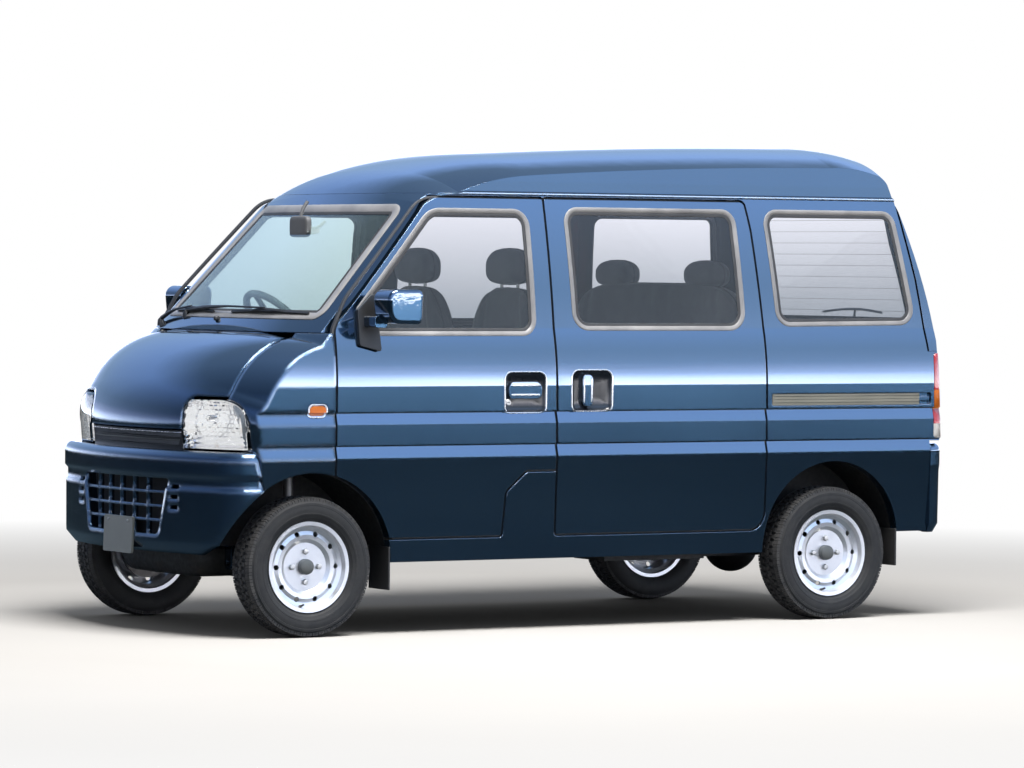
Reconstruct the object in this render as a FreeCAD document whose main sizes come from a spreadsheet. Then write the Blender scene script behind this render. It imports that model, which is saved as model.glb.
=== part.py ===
import FreeCAD
import Part
import PartDesign
import Sketcher
import math
import os
from FreeCAD import Placement, Rotation
from FreeCAD import Vector as V

# Kei van.  X forward, Y left, Z up, origin on the ground under the middle of the van.
# The body is one lofted envelope; the panels are cut from its wall along the real seams.

doc = FreeCAD.newDocument("KeiVan")
sheet = doc.addObject("Spreadsheet::Sheet", "Sizes")

SIZES = [
    # alias, value, what it is
    ("body_length", 3395, "bumper to bumper"),
    ("body_width", 1475, "over the side mouldings"),
    ("body_height", 1870, "ground to roof"),
    ("wheelbase", 2350, "axle to axle"),
    ("front_overhang", 440, "nose to front axle"),
    ("track_width", 1290, "between tyre centres"),
    ("tyre_radius", 262, "under load"),
    ("tyre_width", 145, "section width"),
    ("rim_radius", 169.5, "over the flange"),
    ("body_wall", 45, "door and panel thickness"),
    ("glass_thickness", 5, "all panes"),
    ("glass_inset", 4, "pane below the skin"),
    ("panel_gap", 9, "round doors and lids"),
    ("seam_gap", 0.4, "between fixed panels"),
    ("seat_gap", 0.4, "between a piece and its seat"),
    ("sill_height", 271, "underside of the side panel"),
    ("door_bottom", 360, "lower edge of the doors"),
    ("bumper_top", 690, "upper edge of both bumpers"),
    ("bumper_bottom", 305, "lower edge of both bumpers"),
    ("lower_ledge", 666, "outer edge of the lower side ledge"),
    ("upper_ledge", 790, "outer edge of the upper side ledge"),
    ("ledge_width", 11, "how far each ledge stands out"),
    ("ledge_rise", 42, "height of each sloping ledge"),
    ("belt_height", 1131, "foot of the side windows"),
    ("gutter_height", 1658, "seam of the high roof"),
    ("door_split", 205, "x of the seam between the doors"),
    ("door_front", 1162, "x of the front edge of the front door"),
    ("door_rear", -765, "x of the rear edge of the sliding door"),
    ("front_arch", 350, "radius of the front wheel arch"),
    ("rear_arch", 320, "radius of the rear wheel arch"),
    ("rear_arch_lift", 44, "arch centre above the axle"),
    ("floor_front", 420, "top of the cab floor"),
    ("floor_rear", 620, "top of the load floor"),
    ("floor_thickness", 25, "floor pressings"),
    ("kingpin_offset", 538, "y of the steering axis"),
    ("hub_offset", 24, "wheel disc outboard of the tyre centre"),
    ("vent_circle", 126, "radius of the circle of vent holes in the wheel disc"),
    ("vent_radius", 10, "radius of one vent hole"),
    ("vent_count", 10, "vent holes in a wheel"),
    ("bolt_circle", 57, "radius of the circle of wheel bolts"),
    ("bolt_radius", 7, "radius of one bolt hole"),
    ("bolt_count", 4, "bolts in a wheel"),
    ("seat_width", 492, "front seat cushion"),
    ("engine_length", 480, "under the front seats"),
    ("engine_width", 420, "across the van"),
    ("engine_height", 300, "block and head"),
]
for row, (alias, value, note) in enumerate(SIZES, start=1):
    sheet.set("A%d" % row, note)
    sheet.set("B%d" % row, str(value))
    sheet.setAlias("B%d" % row, alias)
doc.recompute()
size = {alias: float(sheet.get(alias)) for alias, value, note in SIZES}

HALF = size["body_width"] / 2
NOSE_X = size["body_length"] / 2
TAIL_X = -NOSE_X
ROOF_Z = size["body_height"]
FRONT_X = NOSE_X - size["front_overhang"]
REAR_X = FRONT_X - size["wheelbase"]
AXLE_Z = size["tyre_radius"]
TYRE_Y = size["track_width"] / 2
WALL = size["body_wall"]
GAP = size["panel_gap"]
SEAM = size["seam_gap"]
SEAT = size["seat_gap"]
BELT_Z = size["belt_height"]
GUTTER_Z = size["gutter_height"]
LEDGE = size["ledge_width"]
LEDGE_RISE = size["ledge_rise"]
COWL_X = FRONT_X + 27
BODY_NOSE_X = NOSE_X - 42
BODY_TAIL_X = TAIL_X + 30


# outlines
# A path is a closed list of (u, v, mid), counter-clockwise; mid is the point that the arc
# to the next vertex runs through, or None for a straight edge.

def arc_centre(a, m, b):
    d = 2 * (a[0] * (m[1] - b[1]) + m[0] * (b[1] - a[1]) + b[0] * (a[1] - m[1]))
    a2 = a[0] ** 2 + a[1] ** 2
    m2 = m[0] ** 2 + m[1] ** 2
    b2 = b[0] ** 2 + b[1] ** 2
    u = (a2 * (m[1] - b[1]) + m2 * (b[1] - a[1]) + b2 * (a[1] - m[1])) / d
    v = (a2 * (b[0] - m[0]) + m2 * (a[0] - b[0]) + b2 * (m[0] - a[0])) / d
    return u, v


def turn_of(a, m, b):
    cross = (m[0] - a[0]) * (b[1] - m[1]) - (m[1] - a[1]) * (b[0] - m[0])
    return 1 if cross > 0 else -1


def direction(a, m, b, at_end):
    """Unit tangent of an edge at one of its ends."""
    if m is None:
        t = (b[0] - a[0], b[1] - a[1])
    else:
        c = arc_centre(a, m, b)
        p = b if at_end else a
        s = turn_of(a, m, b)
        t = (-(p[1] - c[1]) * s, (p[0] - c[0]) * s)
    length = math.hypot(*t)
    return t[0] / length, t[1] / length


def inset(path, d):
    """The same path moved inwards by d; outwards where d is negative."""
    n = len(path)
    moved = []
    for i in range(n):
        before, here, after = path[i - 1], path[i], path[(i + 1) % n]
        t0 = direction(before[:2], before[2], here[:2], True)
        t1 = direction(here[:2], here[2], after[:2], False)
        k = 1 - t0[1] * -t1[1] + t0[0] * t1[0]
        u = here[0] - (t0[1] + t1[1]) / k * d
        v = here[1] + (t0[0] + t1[0]) / k * d
        mid = here[2]
        if mid is not None:
            c = arc_centre(here[:2], mid, after[:2])
            s = turn_of(here[:2], mid, after[:2])
            r = math.hypot(mid[0] - c[0], mid[1] - c[1])
            mid = (mid[0] + (c[0] - mid[0]) / r * d * s, mid[1] + (c[1] - mid[1]) / r * d * s)
        moved.append((u, v, mid))
    return moved


def rounded(corners):
    """Path through (u, v, radius) corners, each rounded by its own radius."""
    n = len(corners)
    path = []
    for i in range(n):
        u, v, r = corners[i]
        if not r:
            path.append((u, v, None))
            continue
        ways = []
        for other in (corners[i - 1], corners[(i + 1) % n]):
            w = (other[0] - u, other[1] - v)
            length = math.hypot(*w)
            ways.append((w[0] / length, w[1] / length))
        (a0, a1), (b0, b1) = ways
        half = math.acos(max(-1.0, min(1.0, a0 * b0 + a1 * b1))) / 2
        reach = r / math.tan(half)
        bis = (a0 + b0, a1 + b1)
        length = math.hypot(*bis)
        out = (r / math.sin(half) - r) / length
        path.append((u + a0 * reach, v + a1 * reach, (u + bis[0] * out, v + bis[1] * out)))
        path.append((u + b0 * reach, v + b1 * reach, None))
    return path


def wire(path, put):
    edges = []
    for i, (u, v, mid) in enumerate(path):
        end = path[(i + 1) % len(path)]
        if mid is None:
            edges.append(Part.LineSegment(put(u, v), put(*end[:2])).toShape())
        else:
            edges.append(Part.Arc(put(u, v), put(*mid), put(*end[:2])).toShape())
    return Part.Wire(edges)


def slab(path, y0, y1):
    """Side-view outline (x, z) made solid from y0 to y1."""
    face = Part.Face(wire(path, lambda u, v: V(u, y0, v)))
    return face.extrude(V(0, y1 - y0, 0))


def plate(path, x0, x1):
    """Front-view outline (y, z) made solid from x0 to x1."""
    face = Part.Face(wire(path, lambda u, v: V(x0, u, v)))
    return face.extrude(V(x1 - x0, 0, 0))


def block(x0, x1, y0, y1, z0, z1):
    return Part.makeBox(x1 - x0, y1 - y0, z1 - z0, V(x0, y0, z0))


def rod(a, b, radius):
    axis = V(*b) - V(*a)
    return Part.makeCylinder(radius, axis.Length, V(*a), axis)


def fused(shapes):
    shape = shapes[0]
    if len(shapes) > 1:
        shape = shape.fuse(shapes[1:])
    return shape.removeSplitter()


def mirrored(shape):
    return shape.mirror(V(0, 0, 0), V(0, 1, 0))


def biggest(shape):
    return max(shape.Solids, key=lambda s: s.Volume)


# body envelope
# Bow of the surfaces across the van: shift = second * q^2 + fourth * q^4, q = y / 650.
STATIONS = (0, 300, 520, 650, 745)
BOWS = {
    # name: (second, fourth)
    "flat": (0, 0),
    "nose": (92, 32),
    "bonnet_back": (78, 26),
    "bonnet_drop": (26, 24),
    "cowl_back": (34, 18),
    "cowl_drop": (18, 18),
    "screen_back": (38, 20),
    "screen_drop": (16, 20),
    "dome_drop": (24, 78),
    "roof_drop": (26, 84),
    "tail": (-12, -24),
}


def bow(name, y):
    q = y / 650
    second, fourth = BOWS[name]
    return second * q ** 2 + fourth * q ** 4


PROFILE = [
    # x, z, bow back, bow down, arc point (x, z) to the next vertex; nose first, over the roof
    (BODY_NOSE_X - 50, size["sill_height"] - 20, "nose", "flat", None),
    (BODY_NOSE_X - 5, size["bumper_top"] + 10, "nose", "flat", None),
    (BODY_NOSE_X, 760, "nose", "flat", (BODY_NOSE_X - 12, 860)),
    (BODY_NOSE_X - 57, 950, "bonnet_back", "bonnet_drop", (BODY_NOSE_X - 185, 1068)),
    (COWL_X, BELT_Z + 5, "cowl_back", "cowl_drop", None),
    (COWL_X - 494, GUTTER_Z - 8, "screen_back", "screen_drop", (COWL_X - 568, 1710.6)),
    (COWL_X - 654, ROOF_Z - 119, "screen_back", "dome_drop", (COWL_X - 842, 1799)),
    (250, ROOF_Z - 47, "flat", "roof_drop", (-450, ROOF_Z - 14)),
    (-1150, ROOF_Z, "flat", "roof_drop", (-1290, ROOF_Z - 5)),
    (BODY_TAIL_X + 267, ROOF_Z - 25, "tail", "roof_drop", (BODY_TAIL_X + 235, ROOF_Z - 44)),
    (BODY_TAIL_X + 212, ROOF_Z - 80, "tail", "dome_drop", (BODY_TAIL_X + 99, 1450)),
    (BODY_TAIL_X + 27, 1100, "tail", "flat", None),
    (BODY_TAIL_X, 500, "tail", "flat", None),
    (BODY_TAIL_X + 17, size["sill_height"] - 20, "tail", "flat", None),
]


def profile_at(y, depth):
    """The side profile at one station across the van, moved inwards by depth."""
    path = inset([(x, z, mid) for x, z, back, down, mid in PROFILE], depth)
    shifted = []
    for i, (x, z, mid) in enumerate(path):
        here, after = PROFILE[i], PROFILE[(i + 1) % len(PROFILE)]
        if mid is not None:
            back = (bow(here[2], y) + bow(after[2], y)) / 2
            down = (bow(here[3], y) + bow(after[3], y)) / 2
            mid = (mid[0] - back, mid[1] - down)
        if depth and z < size["sill_height"] + WALL:
            z -= 2 * WALL + 50
        shifted.append((x - bow(here[2], y), z - bow(here[3], y), mid))
    return shifted


def profile_loft(depth):
    stations = [-y for y in reversed(STATIONS[1:])] + list(STATIONS)
    wires = []
    for y in stations:
        wires.append(wire(profile_at(y, depth), lambda u, v, y=y: V(u, y, v)))
    return Part.makeLoft(wires, True, False)


SIDE = [
    # y, z, arc point (y, z) to the next vertex; half section of the body, sill to roof
    (HALF - 37, size["sill_height"], None),
    (HALF - 22, size["door_bottom"], None),
    (HALF - 3, size["lower_ledge"] - 26, (HALF - 0.9, size["lower_ledge"] - 10)),
    (HALF - 1, size["lower_ledge"], None),
    (HALF - 1 - LEDGE, size["lower_ledge"] + LEDGE_RISE, None),
    (HALF - 2, size["lower_ledge"] + LEDGE_RISE + 4, None),
    (HALF - 2, size["upper_ledge"], None),
    (HALF - 2 - LEDGE, size["upper_ledge"] + LEDGE_RISE, None),
    (HALF, size["upper_ledge"] + LEDGE_RISE + 4, None),
    (HALF, 932, (HALF - 7, 1040)),
    (HALF - 26, BELT_Z + 19, (HALF - 58, 1400)),
    (HALF - 107, GUTTER_Z - 4, None),
    (HALF - 103, GUTTER_Z - 2, None),
    (HALF - 103, GUTTER_Z + 6, None),
    (HALF - 115, GUTTER_Z + 12, None),
    (HALF - 120, GUTTER_Z + 50, None),
    (HALF - 150, ROOF_Z + 40, None),
]


def side_prism(depth):
    """The body section run the whole length of the van, its sides moved in by depth."""
    left = [(y - depth, z, mid and (mid[0] - depth, mid[1])) for y, z, mid in SIDE]
    if depth:
        left[0] = (left[0][0], size["sill_height"] - 60, None)
        left[-1] = (left[-1][0], ROOF_Z + 60, None)
    right = []
    for i in range(len(left) - 1, -1, -1):
        mid = left[i - 1][2] if i else None
        right.append((-left[i][0], left[i][1], mid and (-mid[0], mid[1])))
    return plate(left + right, TAIL_X - 60, NOSE_X + 60)


def both(front, side):
    return biggest(front.common(side))


outer_loft = profile_loft(0)
inner_loft = profile_loft(WALL)
outer_side = side_prism(0)
inner_side = side_prism(WALL)
envelope = both(outer_loft, outer_side)
hollow = both(inner_loft, inner_side)
shell = envelope.cut(hollow)
side_wall = envelope.cut(inner_side)
cross_wall = both(envelope, inner_side).cut(inner_loft)

front_arch = Part.makeCylinder(size["front_arch"], 900, V(FRONT_X, 300, AXLE_Z), V(0, 1, 0))
rear_arch_z = AXLE_Z + size["rear_arch_lift"]
rear_arch = Part.makeCylinder(size["rear_arch"], 900, V(REAR_X, 300, rear_arch_z), V(0, 1, 0))


# side view outlines
DOOR_TOP = GUTTER_Z - 12
FRONT_DOOR = rounded([
    (430, size["door_bottom"], 12),
    (size["door_front"], size["door_bottom"], 20),
    (size["door_front"], BELT_Z + 10, 60),
    (1098, 1264, 200),
    (745, DOOR_TOP, 130),
    (size["door_split"] + 3, DOOR_TOP, 12),
    (size["door_split"] - 8, 607, 12),
    (331, 607, 30),
    (419, 529, 40),
])
SLIDING_DOOR = rounded([
    (size["door_rear"] - 6, size["door_bottom"], 70),
    (size["door_split"] - 12, size["door_bottom"], 12),
    (size["door_split"] + 3, DOOR_TOP, 12),
    (size["door_rear"] + 48, DOOR_TOP, 25),
    (size["door_rear"] + 30, 1534, 300),
    (size["door_rear"] + 2, 1143, 600),
])
FRONT_WINDOW = rounded([
    (283, BELT_Z - 8, 60),
    (1062, BELT_Z - 8, 18),
    (1062, 1222, 20),
    (718, 1600, 110),
    (283, 1600, 65),
])
SLIDING_WINDOW = rounded([(-678, 1143, 70), (112, 1143, 70), (122, 1610, 60), (-664, 1610, 60)])
QUARTER_WINDOW = rounded([(-1494, 1165, 65), (-830, 1158, 65), (-798, 1612, 60), (-1424, 1612, 60)])
LID_LINE = [(-1385, 1900), (-1385, 1845), (-1448, 1660), (-1513, 1342), (-1552, 1058)]
TAILGATE = [(x, z, None) for x, z in LID_LINE] + [(-1900, 1058, None), (-1900, 1900, None)]
TAIL_LAMP = rounded([(-1800, 714, 0), (-1572, 714, 12), (-1572, 1050, 12), (-1800, 1050, 0)])
LAMP_SIDE = rounded([(1500, 694, 0), (1800, 694, 0), (1800, 886, 0), (1522, 886, 40)])
LAMP_FRONT = rounded([(374, 694, 8), (800, 694, 0), (800, 886, 0), (374, 886, 55)])


def upper_half_cut(shape, z):
    return shape.common(block(-2000, 2000, -900, 900, z, 2100))


def lower_half_cut(shape, z):
    return shape.common(block(-2000, 2000, -900, 900, 100, z))


nodes = []


def keep(label, shape):
    """One node of the part as a document object."""
    obj = doc.addObject("Part::Feature", label)
    obj.Label = label
    obj.Shape = shape
    nodes.append(obj)
    return obj


def pane_cut(path):
    """Window opening in a side wall."""
    return slab(path, 300, 900)


def side_pane(path):
    """Glass that lies just below the skin of the side, held by the opening's edge."""
    d = size["glass_inset"]
    layer = side_prism(d).cut(side_prism(d + size["glass_thickness"]))
    return biggest(layer.common(slab(path, 300, 900)))


# doors
door_left = biggest(side_wall.common(slab(inset(FRONT_DOOR, GAP / 2), 300, 900)))
door_arch = Part.makeCylinder(size["front_arch"] + 2, 900, V(FRONT_X, 300, AXLE_Z), V(0, 1, 0))
door_left = door_left.cut(door_arch)
HANDLES = [
    # label, outline of the recess, outline of the pull
    ("front", rounded([(249, 828, 22), (432, 828, 22), (432, 984, 30), (249, 984, 30)]),
     rounded([(268, 882, 20), (414, 882, 20), (414, 946, 28), (268, 946, 28)])),
    ("sliding", rounded([(-49, 832, 22), (133, 832, 22), (133, 990, 30), (-49, 990, 30)]),
     rounded([(38, 852, 18), (84, 852, 18), (84, 972, 18), (38, 972, 18)])),
]


def with_handle(door, recess, pull):
    pocket = slab(recess, 300, 900).cut(side_prism(18))
    grip = slab(pull, 300, 900).common(side_prism(1)).cut(side_prism(20))
    return fused([door.cut(pocket), biggest(grip)])


door_left = with_handle(door_left, HANDLES[0][1], HANDLES[0][2])
door_left = biggest(door_left.cut(pane_cut(FRONT_WINDOW)))
sliding_left = biggest(side_wall.common(slab(inset(SLIDING_DOOR, GAP / 2), 300, 900)))
sliding_left = with_handle(sliding_left, HANDLES[1][1], HANDLES[1][2])
sliding_left = biggest(sliding_left.cut(pane_cut(SLIDING_WINDOW)))
front_glass = side_pane(inset(FRONT_WINDOW, 0))
sliding_glass = side_pane(SLIDING_WINDOW)
quarter_glass = side_pane(QUARTER_WINDOW)

keep("front_door_left", door_left)
keep("front_door_right", mirrored(door_left))
keep("sliding_door_left", sliding_left)
keep("sliding_door_right", mirrored(sliding_left))
keep("front_door_glass_left", front_glass)
keep("front_door_glass_right", mirrored(front_glass))
keep("sliding_door_glass_left", sliding_glass)
keep("sliding_door_glass_right", mirrored(sliding_glass))
keep("quarter_glass", Part.makeCompound([quarter_glass, mirrored(quarter_glass)]))

# side frame
door_holes = [
    slab(inset(FRONT_DOOR, -GAP / 2), 300, 900),
    slab(inset(SLIDING_DOOR, -GAP / 2), 300, 900),
]
tailgate_zone = slab(TAILGATE, -900, 900)
tailgate_zone = tailgate_zone.fuse(block(-1900, -1560, -600, 600, size["bumper_top"] + 14, 1060))
lid_gap = slab([(x + GAP, z, m) for x, z, m in TAILGATE], -900, 900)
lid_gap = lid_gap.fuse(block(-1900, -1540, -600 - GAP, 600 + GAP, size["bumper_top"] + 6, 1060))
tail_lamp_cut = slab(inset(TAIL_LAMP, -SEAM), 560, 900)
front_joint = slab([
    (1498, size["bumper_top"] + 6, None),
    (1440, 480, None),
    (1200, 100, None),
    (1900, 100, None),
    (1900, size["bumper_top"] + 6, None),
], -900, 900)
rear_joint = block(-1900, -1557, -900, 900, 200, size["bumper_top"] + 12)
RAIL = rounded([(-1556, 846, 8), (-790, 846, 8), (-790, 894, 8), (-1556, 894, 8)])
rail_groove = slab(RAIL, 300, 900).cut(side_prism(14))

frame_left = lower_half_cut(side_wall, GUTTER_Z - SEAM).common(block(-2000, 2000, 0, 900, 0, 2000))
low_front = block(size["door_front"] - 4, 1900, 0, 900, 100, BELT_Z)
frame_left = frame_left.cut([low_front, door_holes[0], door_holes[1], lid_gap, tail_lamp_cut,
                             rear_joint, rear_arch, front_arch, pane_cut(QUARTER_WINDOW), rail_groove])
behind_wheel = block(-1900, REAR_X - 250, 300, 900, 200, size["sill_height"] + 70)
frame_left = frame_left.cut(behind_wheel)
pillar = side_prism(WALL).cut(side_prism(WALL + 40))
pillar = pillar.common(block(size["door_split"] - 45, size["door_split"] + 45, 300, 900, 300, GUTTER_Z - SEAM))
frame_left = biggest(frame_left.fuse(pillar))
pillar_room = side_prism(WALL - 1).cut(side_prism(WALL + 40 + SEAT))
pillar_room = pillar_room.common(block(size["door_split"] - 46, size["door_split"] + 46, 300, 900, 300, 900))
rail_bar = slab(rounded([(-1550, 862, 4), (-796, 862, 4), (-796, 878, 4), (-1550, 878, 4)]), 300, 900)
rail_bar = biggest(rail_bar.common(side_prism(4)).cut(side_prism(16)))
frame_left = fused([frame_left, rail_bar])
keep("side_frame_left", frame_left)
keep("side_frame_right", mirrored(frame_left))

# front
bonnet_edge = [(1700, 588), (1552, 585), (1400, 560), (COWL_X - 20, 530)]


def plan_prism(points, z0, z1):
    corners = [V(x, y, z0) for x, y in points]
    return Part.Face(Part.makePolygon(corners + [corners[0]])).extrude(V(0, 0, z1 - z0))


def bonnet_plan(out, x_low):
    left = [(x, y + out) for x, y in bonnet_edge]
    left[-1] = (x_low, left[-1][1])
    return plan_prism(left + [(x, -y) for x, y in reversed(left)], 600, 1300)


lamp_zone = biggest(slab(LAMP_SIDE, 300, 900).common(plate(LAMP_FRONT, 1300, 1800)))
lamp_cut = biggest(slab(inset(LAMP_SIDE, -3), 300, 900).common(plate(inset(LAMP_FRONT, -3), 1200, 1800)))
bonnet_lamp_cut = plate(inset(LAMP_FRONT, -6), 1200, 1800)
lamp_cuts = [bonnet_lamp_cut, mirrored(bonnet_lamp_cut)]
lamp_left = biggest(side_prism(1).common(profile_loft(1)).common(lamp_zone))
LAMP_BACK_X = 1480
lamp_left = lamp_left.cut(block(1200, LAMP_BACK_X, 0, 900, 600, 1000))
keep("headlamps", Part.makeCompound([lamp_left, mirrored(lamp_left)]))

cowl_cut = COWL_X - 8
low_skin = lower_half_cut(cross_wall, BELT_Z - 2).common(block(1200, 1900, -900, 900, 768, 1300))
bonnet = biggest(low_skin.common(bonnet_plan(-GAP / 2, cowl_cut)).cut(lamp_cuts))
keep("bonnet", bonnet)

fender = shell.common(block(size["door_front"] + 4, 1900, 0, 900, 200, BELT_Z - 2))
fender = fender.cut([bonnet_plan(GAP / 2, cowl_cut - 200), front_joint, front_arch, lamp_cut])
fender = fender.cut(block(1000, 1900, 0, 330, 100, 1300))
fender_left = biggest(fender)
repeater_zone = slab(rounded([(1209, 824, 17), (1277, 824, 17), (1277, 860, 17), (1209, 860, 17)]), 300, 900)
fender_left = fender_left.cut(repeater_zone.cut(side_prism(10)))
repeater = repeater_zone.common(side_prism(-3)).cut(side_prism(10))
keep("fender_left", fender_left)
keep("fender_right", mirrored(fender_left))
keep("side_repeaters", Part.makeCompound([biggest(repeater), mirrored(biggest(repeater))]))

SCREEN = rounded([(-612, 1178, 35), (612, 1178, 35), (548, 1612, 55), (-548, 1612, 55)])
screen_zone = plate(SCREEN, 600, 1400)
front_frame = upper_half_cut(cross_wall, BELT_Z).common(block(500, 1268, -900, 900, BELT_Z, GUTTER_Z - SEAM))
front_frame = biggest(front_frame.cut(screen_zone))
liner_room = Part.makeCylinder(size["front_arch"] + 12 + SEAT, 400, V(FRONT_X, 395, AXLE_Z), V(0, 1, 0))
liner_room = [liner_room, mirrored(liner_room)]
radiator_panel = hollow.common(block(1420, 1440, -600, 600, size["bumper_bottom"] + 20, 920))
radiator_panel = radiator_panel.cut(liner_room)
firewall = hollow.common(block(1176, 1196, -684, 684, size["floor_front"], 1150))
firewall = firewall.cut(liner_room)
stays = [
    hollow.common(block(1180, 1436, y, y + 30, 660, 760)) for y in (-330, 300)
]
stays += [block(1436, 1506, y, y + 40, 750, 800) for y in (-500, 460)]
stays += [block(1200, cowl_cut - SEAT, y, y + 30, BELT_Z - 81, BELT_Z - 21) for y in (-500, 470)]
cowl_tray = hollow.common(block(1180, 1262, -640, 640, BELT_Z - 91, BELT_Z + 60))
front_body = fused([front_frame, radiator_panel, firewall, cowl_tray] + stays)
keep("front_body", biggest(front_body))

d = size["glass_inset"]
glass_layer = profile_loft(d).cut(profile_loft(d + size["glass_thickness"]))
screen = biggest(glass_layer.common(screen_zone))
keep("windscreen", screen)

# roof and tailgate
roof = upper_half_cut(shell, GUTTER_Z).cut(lid_gap)
keep("roof_panel", biggest(roof))

REAR_WINDOW = rounded([(-560, 1160, 60), (560, 1160, 60), (520, 1690, 60), (-520, 1690, 60)])
rear_zone = plate(REAR_WINDOW, -1900, -1300)
tailgate = shell.common(tailgate_zone).cut(rear_zone)
tailgate = tailgate.cut([tail_lamp_cut, mirrored(tail_lamp_cut)])
keep("tailgate", biggest(tailgate))
keep("tailgate_glass", biggest(glass_layer.common(rear_zone)))

tail_lamp = biggest(side_prism(-2).common(profile_loft(-2)).common(slab(TAIL_LAMP, 604 + SEAM, 900)))
tail_lamp = biggest(tail_lamp.cut(hollow))
keep("tail_lamps", Part.makeCompound([tail_lamp, mirrored(tail_lamp)]))

# bumpers


def bumper_path(nose_x, bend, corner, end_x):
    """Plan line of the outer face: bowed nose, round corners, straight ends."""
    centre = nose_x - bend
    cy = HALF - corner
    cx = centre + math.sqrt((bend - corner) ** 2 - cy ** 2)
    scale = bend / (bend - corner)
    tx, ty = centre + (cx - centre) * scale, cy * scale
    a = math.atan2(ty, tx - centre)
    mx = cx + corner * math.cos((math.pi / 2 + a) / 2)
    my = cy + corner * math.sin((math.pi / 2 + a) / 2)

    return Part.Wire([
        Part.LineSegment(V(end_x, HALF), V(cx, HALF)).toShape(),
        Part.Arc(V(cx, HALF), V(mx, my), V(tx, ty)).toShape(),
        Part.Arc(V(tx, ty), V(nose_x, 0), V(tx, -ty)).toShape(),
        Part.Arc(V(tx, -ty), V(mx, -my), V(cx, -HALF)).toShape(),
        Part.LineSegment(V(cx, -HALF), V(end_x, -HALF)).toShape(),
    ])


def bumper(section, path):
    start = path.Edges[0].Vertexes[0].Point
    side = wire(section, lambda u, v: V(start.x, HALF + u, v))
    return path.makePipeShell([side], True, False)


TOP = size["bumper_top"]
LOW = size["bumper_bottom"]
FRONT_SECTION = [
    # outward offset, z
    (-70, LOW, None), (-26, LOW, None), (-6, LOW + 40, None), (-5, LOW + 240, None),
    (-12, LOW + 250, None), (-12, LOW + 282, None), (0, LOW + 296, None), (0, TOP - 42, (-6, TOP - 14)),
    (-24, TOP, None), (-70, TOP, None),
]
REAR_SECTION = [
    (-60, LOW + 30, None), (-26, LOW + 30, None), (-6, LOW + 65, None), (-3, LOW + 280, None),
    (0, LOW + 300, None), (0, TOP - 34, (-5, TOP - 12)), (-20, TOP, None), (-60, TOP, None),
]
front_path = bumper_path(NOSE_X, 2200, 150, 1400)
front_bumper = bumper(FRONT_SECTION, front_path)
bumper_arch = Part.makeCylinder(size["front_arch"], 2000, V(FRONT_X, -1000, AXLE_Z), V(0, 1, 0))
ahead_of_joint = slab([
    (1501, TOP + 6, None),
    (1443, 480, None),
    (1203, 100, None),
    (1900, 100, None),
    (1900, TOP + 6, None),
][::-1], -900, 900)
front_bumper = front_bumper.common(ahead_of_joint).cut(bumper_arch)

GRILLE = rounded([(-287, 372, 30), (287, 372, 30), (344, 583, 12), (-344, 583, 12)])
grille_hole = plate(GRILLE, 1500, 1800)
slots = [
    plate(rounded([(s * 352, z, 3), (s * 408, z, 3), (s * 408, z + 16, 3), (s * 352, z + 16, 3)][::s]), 1500, 1800)
    for s in (1, -1) for z in (470, 508, 546)
]
front_bumper = front_bumper.cut([grille_hole] + slots)
lattice = []
for z in (425, 478, 531):
    lattice.append(block(1500, 1800, -400, 400, z - 5, z + 5))
for y in (-200, -100, 0, 100, 200):
    lattice.append(block(1500, 1800, y - 4, y + 4, 372, 583))
band = Part.makeCylinder(2200 - 14, 400, V(NOSE_X - 2200, 0, 300)).cut(
    Part.makeCylinder(2200 - 34, 400, V(NOSE_X - 2200, 0, 300)))
bars = band.common(grille_hole).common(lattice[0].fuse(lattice[1:]))
front_bumper = biggest(front_bumper.fuse(bars))
keep("front_bumper", front_bumper)

rear_path = bumper_path(-TAIL_X, 3600, 68, 1557.4)
rear_bumper = bumper(REAR_SECTION, rear_path).mirror(V(0, 0, 0), V(1, 0, 0))
keep("rear_bumper", biggest(rear_bumper))

slot_grille = both(profile_loft(8), block(1440, 1800, -366, 366, TOP + SEAT, 762))
slot_grille = slot_grille.cut(block(1400, BODY_NOSE_X - 70, -400, 400, 600, 800))
for z in (708, 738):
    slot_grille = slot_grille.cut(both(slot_grille, block(BODY_NOSE_X - 40, 1800, -355, 355, z, z + 16)))
keep("upper_grille", biggest(slot_grille))

# floor and underbody
FT = size["floor_thickness"]
FF = size["floor_front"]
FR = size["floor_rear"]
STEP_X = 120
arch_liner = []
for x, z, r, y0 in [(FRONT_X, AXLE_Z, size["front_arch"], 408), (REAR_X, rear_arch_z, size["rear_arch"], 470)]:
    drum = Part.makeCylinder(r + 12, 400, V(x, y0 - 12, z), V(0, 1, 0))
    drum = drum.cut(Part.makeCylinder(r, 400, V(x, y0, z), V(0, 1, 0)))
    arch_liner.append(drum.common(hollow).common(block(-2000, 2000, 0, 900, 330, 900)))
floor_parts = [
    hollow.common(block(STEP_X, 1196, -700, 700, FF - FT, FF)),
    hollow.common(block(-1556, STEP_X + FT, -700, 700, FR - FT, FR)),
    hollow.common(block(STEP_X, STEP_X + FT, -700, 700, FF - FT, FR)),
]
tunnel = block(STEP_X, 760, -330, 330, FF - FT, FR + 40).cut(block(STEP_X - 1, 760 - FT, -330 + FT, 330 - FT, FF - FT - 1, FR + 40 - FT))
engine_bay = block(STEP_X - 1, 760 - FT, -330 + FT, 330 - FT, 200, FR + 40 - FT)
floor_all = floor_parts[0].fuse(floor_parts[1:] + [tunnel]).cut(engine_bay)
rails = []
for y in (-400, 340):
    rails.append(block(-1556, 1420 - SEAT, y, y + 60, 330, FF - FT))
    rails.append(block(-1614, -1556, y + 10, y + 50, 345, FF - FT))
for x in (-1556, -760, 60, 900, 1360):
    rails.append(block(x, x + 50, -400, 400, 340, FF - FT))
rails.append(block(-1556, -1530, -640, 640, FF - FT - 40, TOP))
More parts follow.
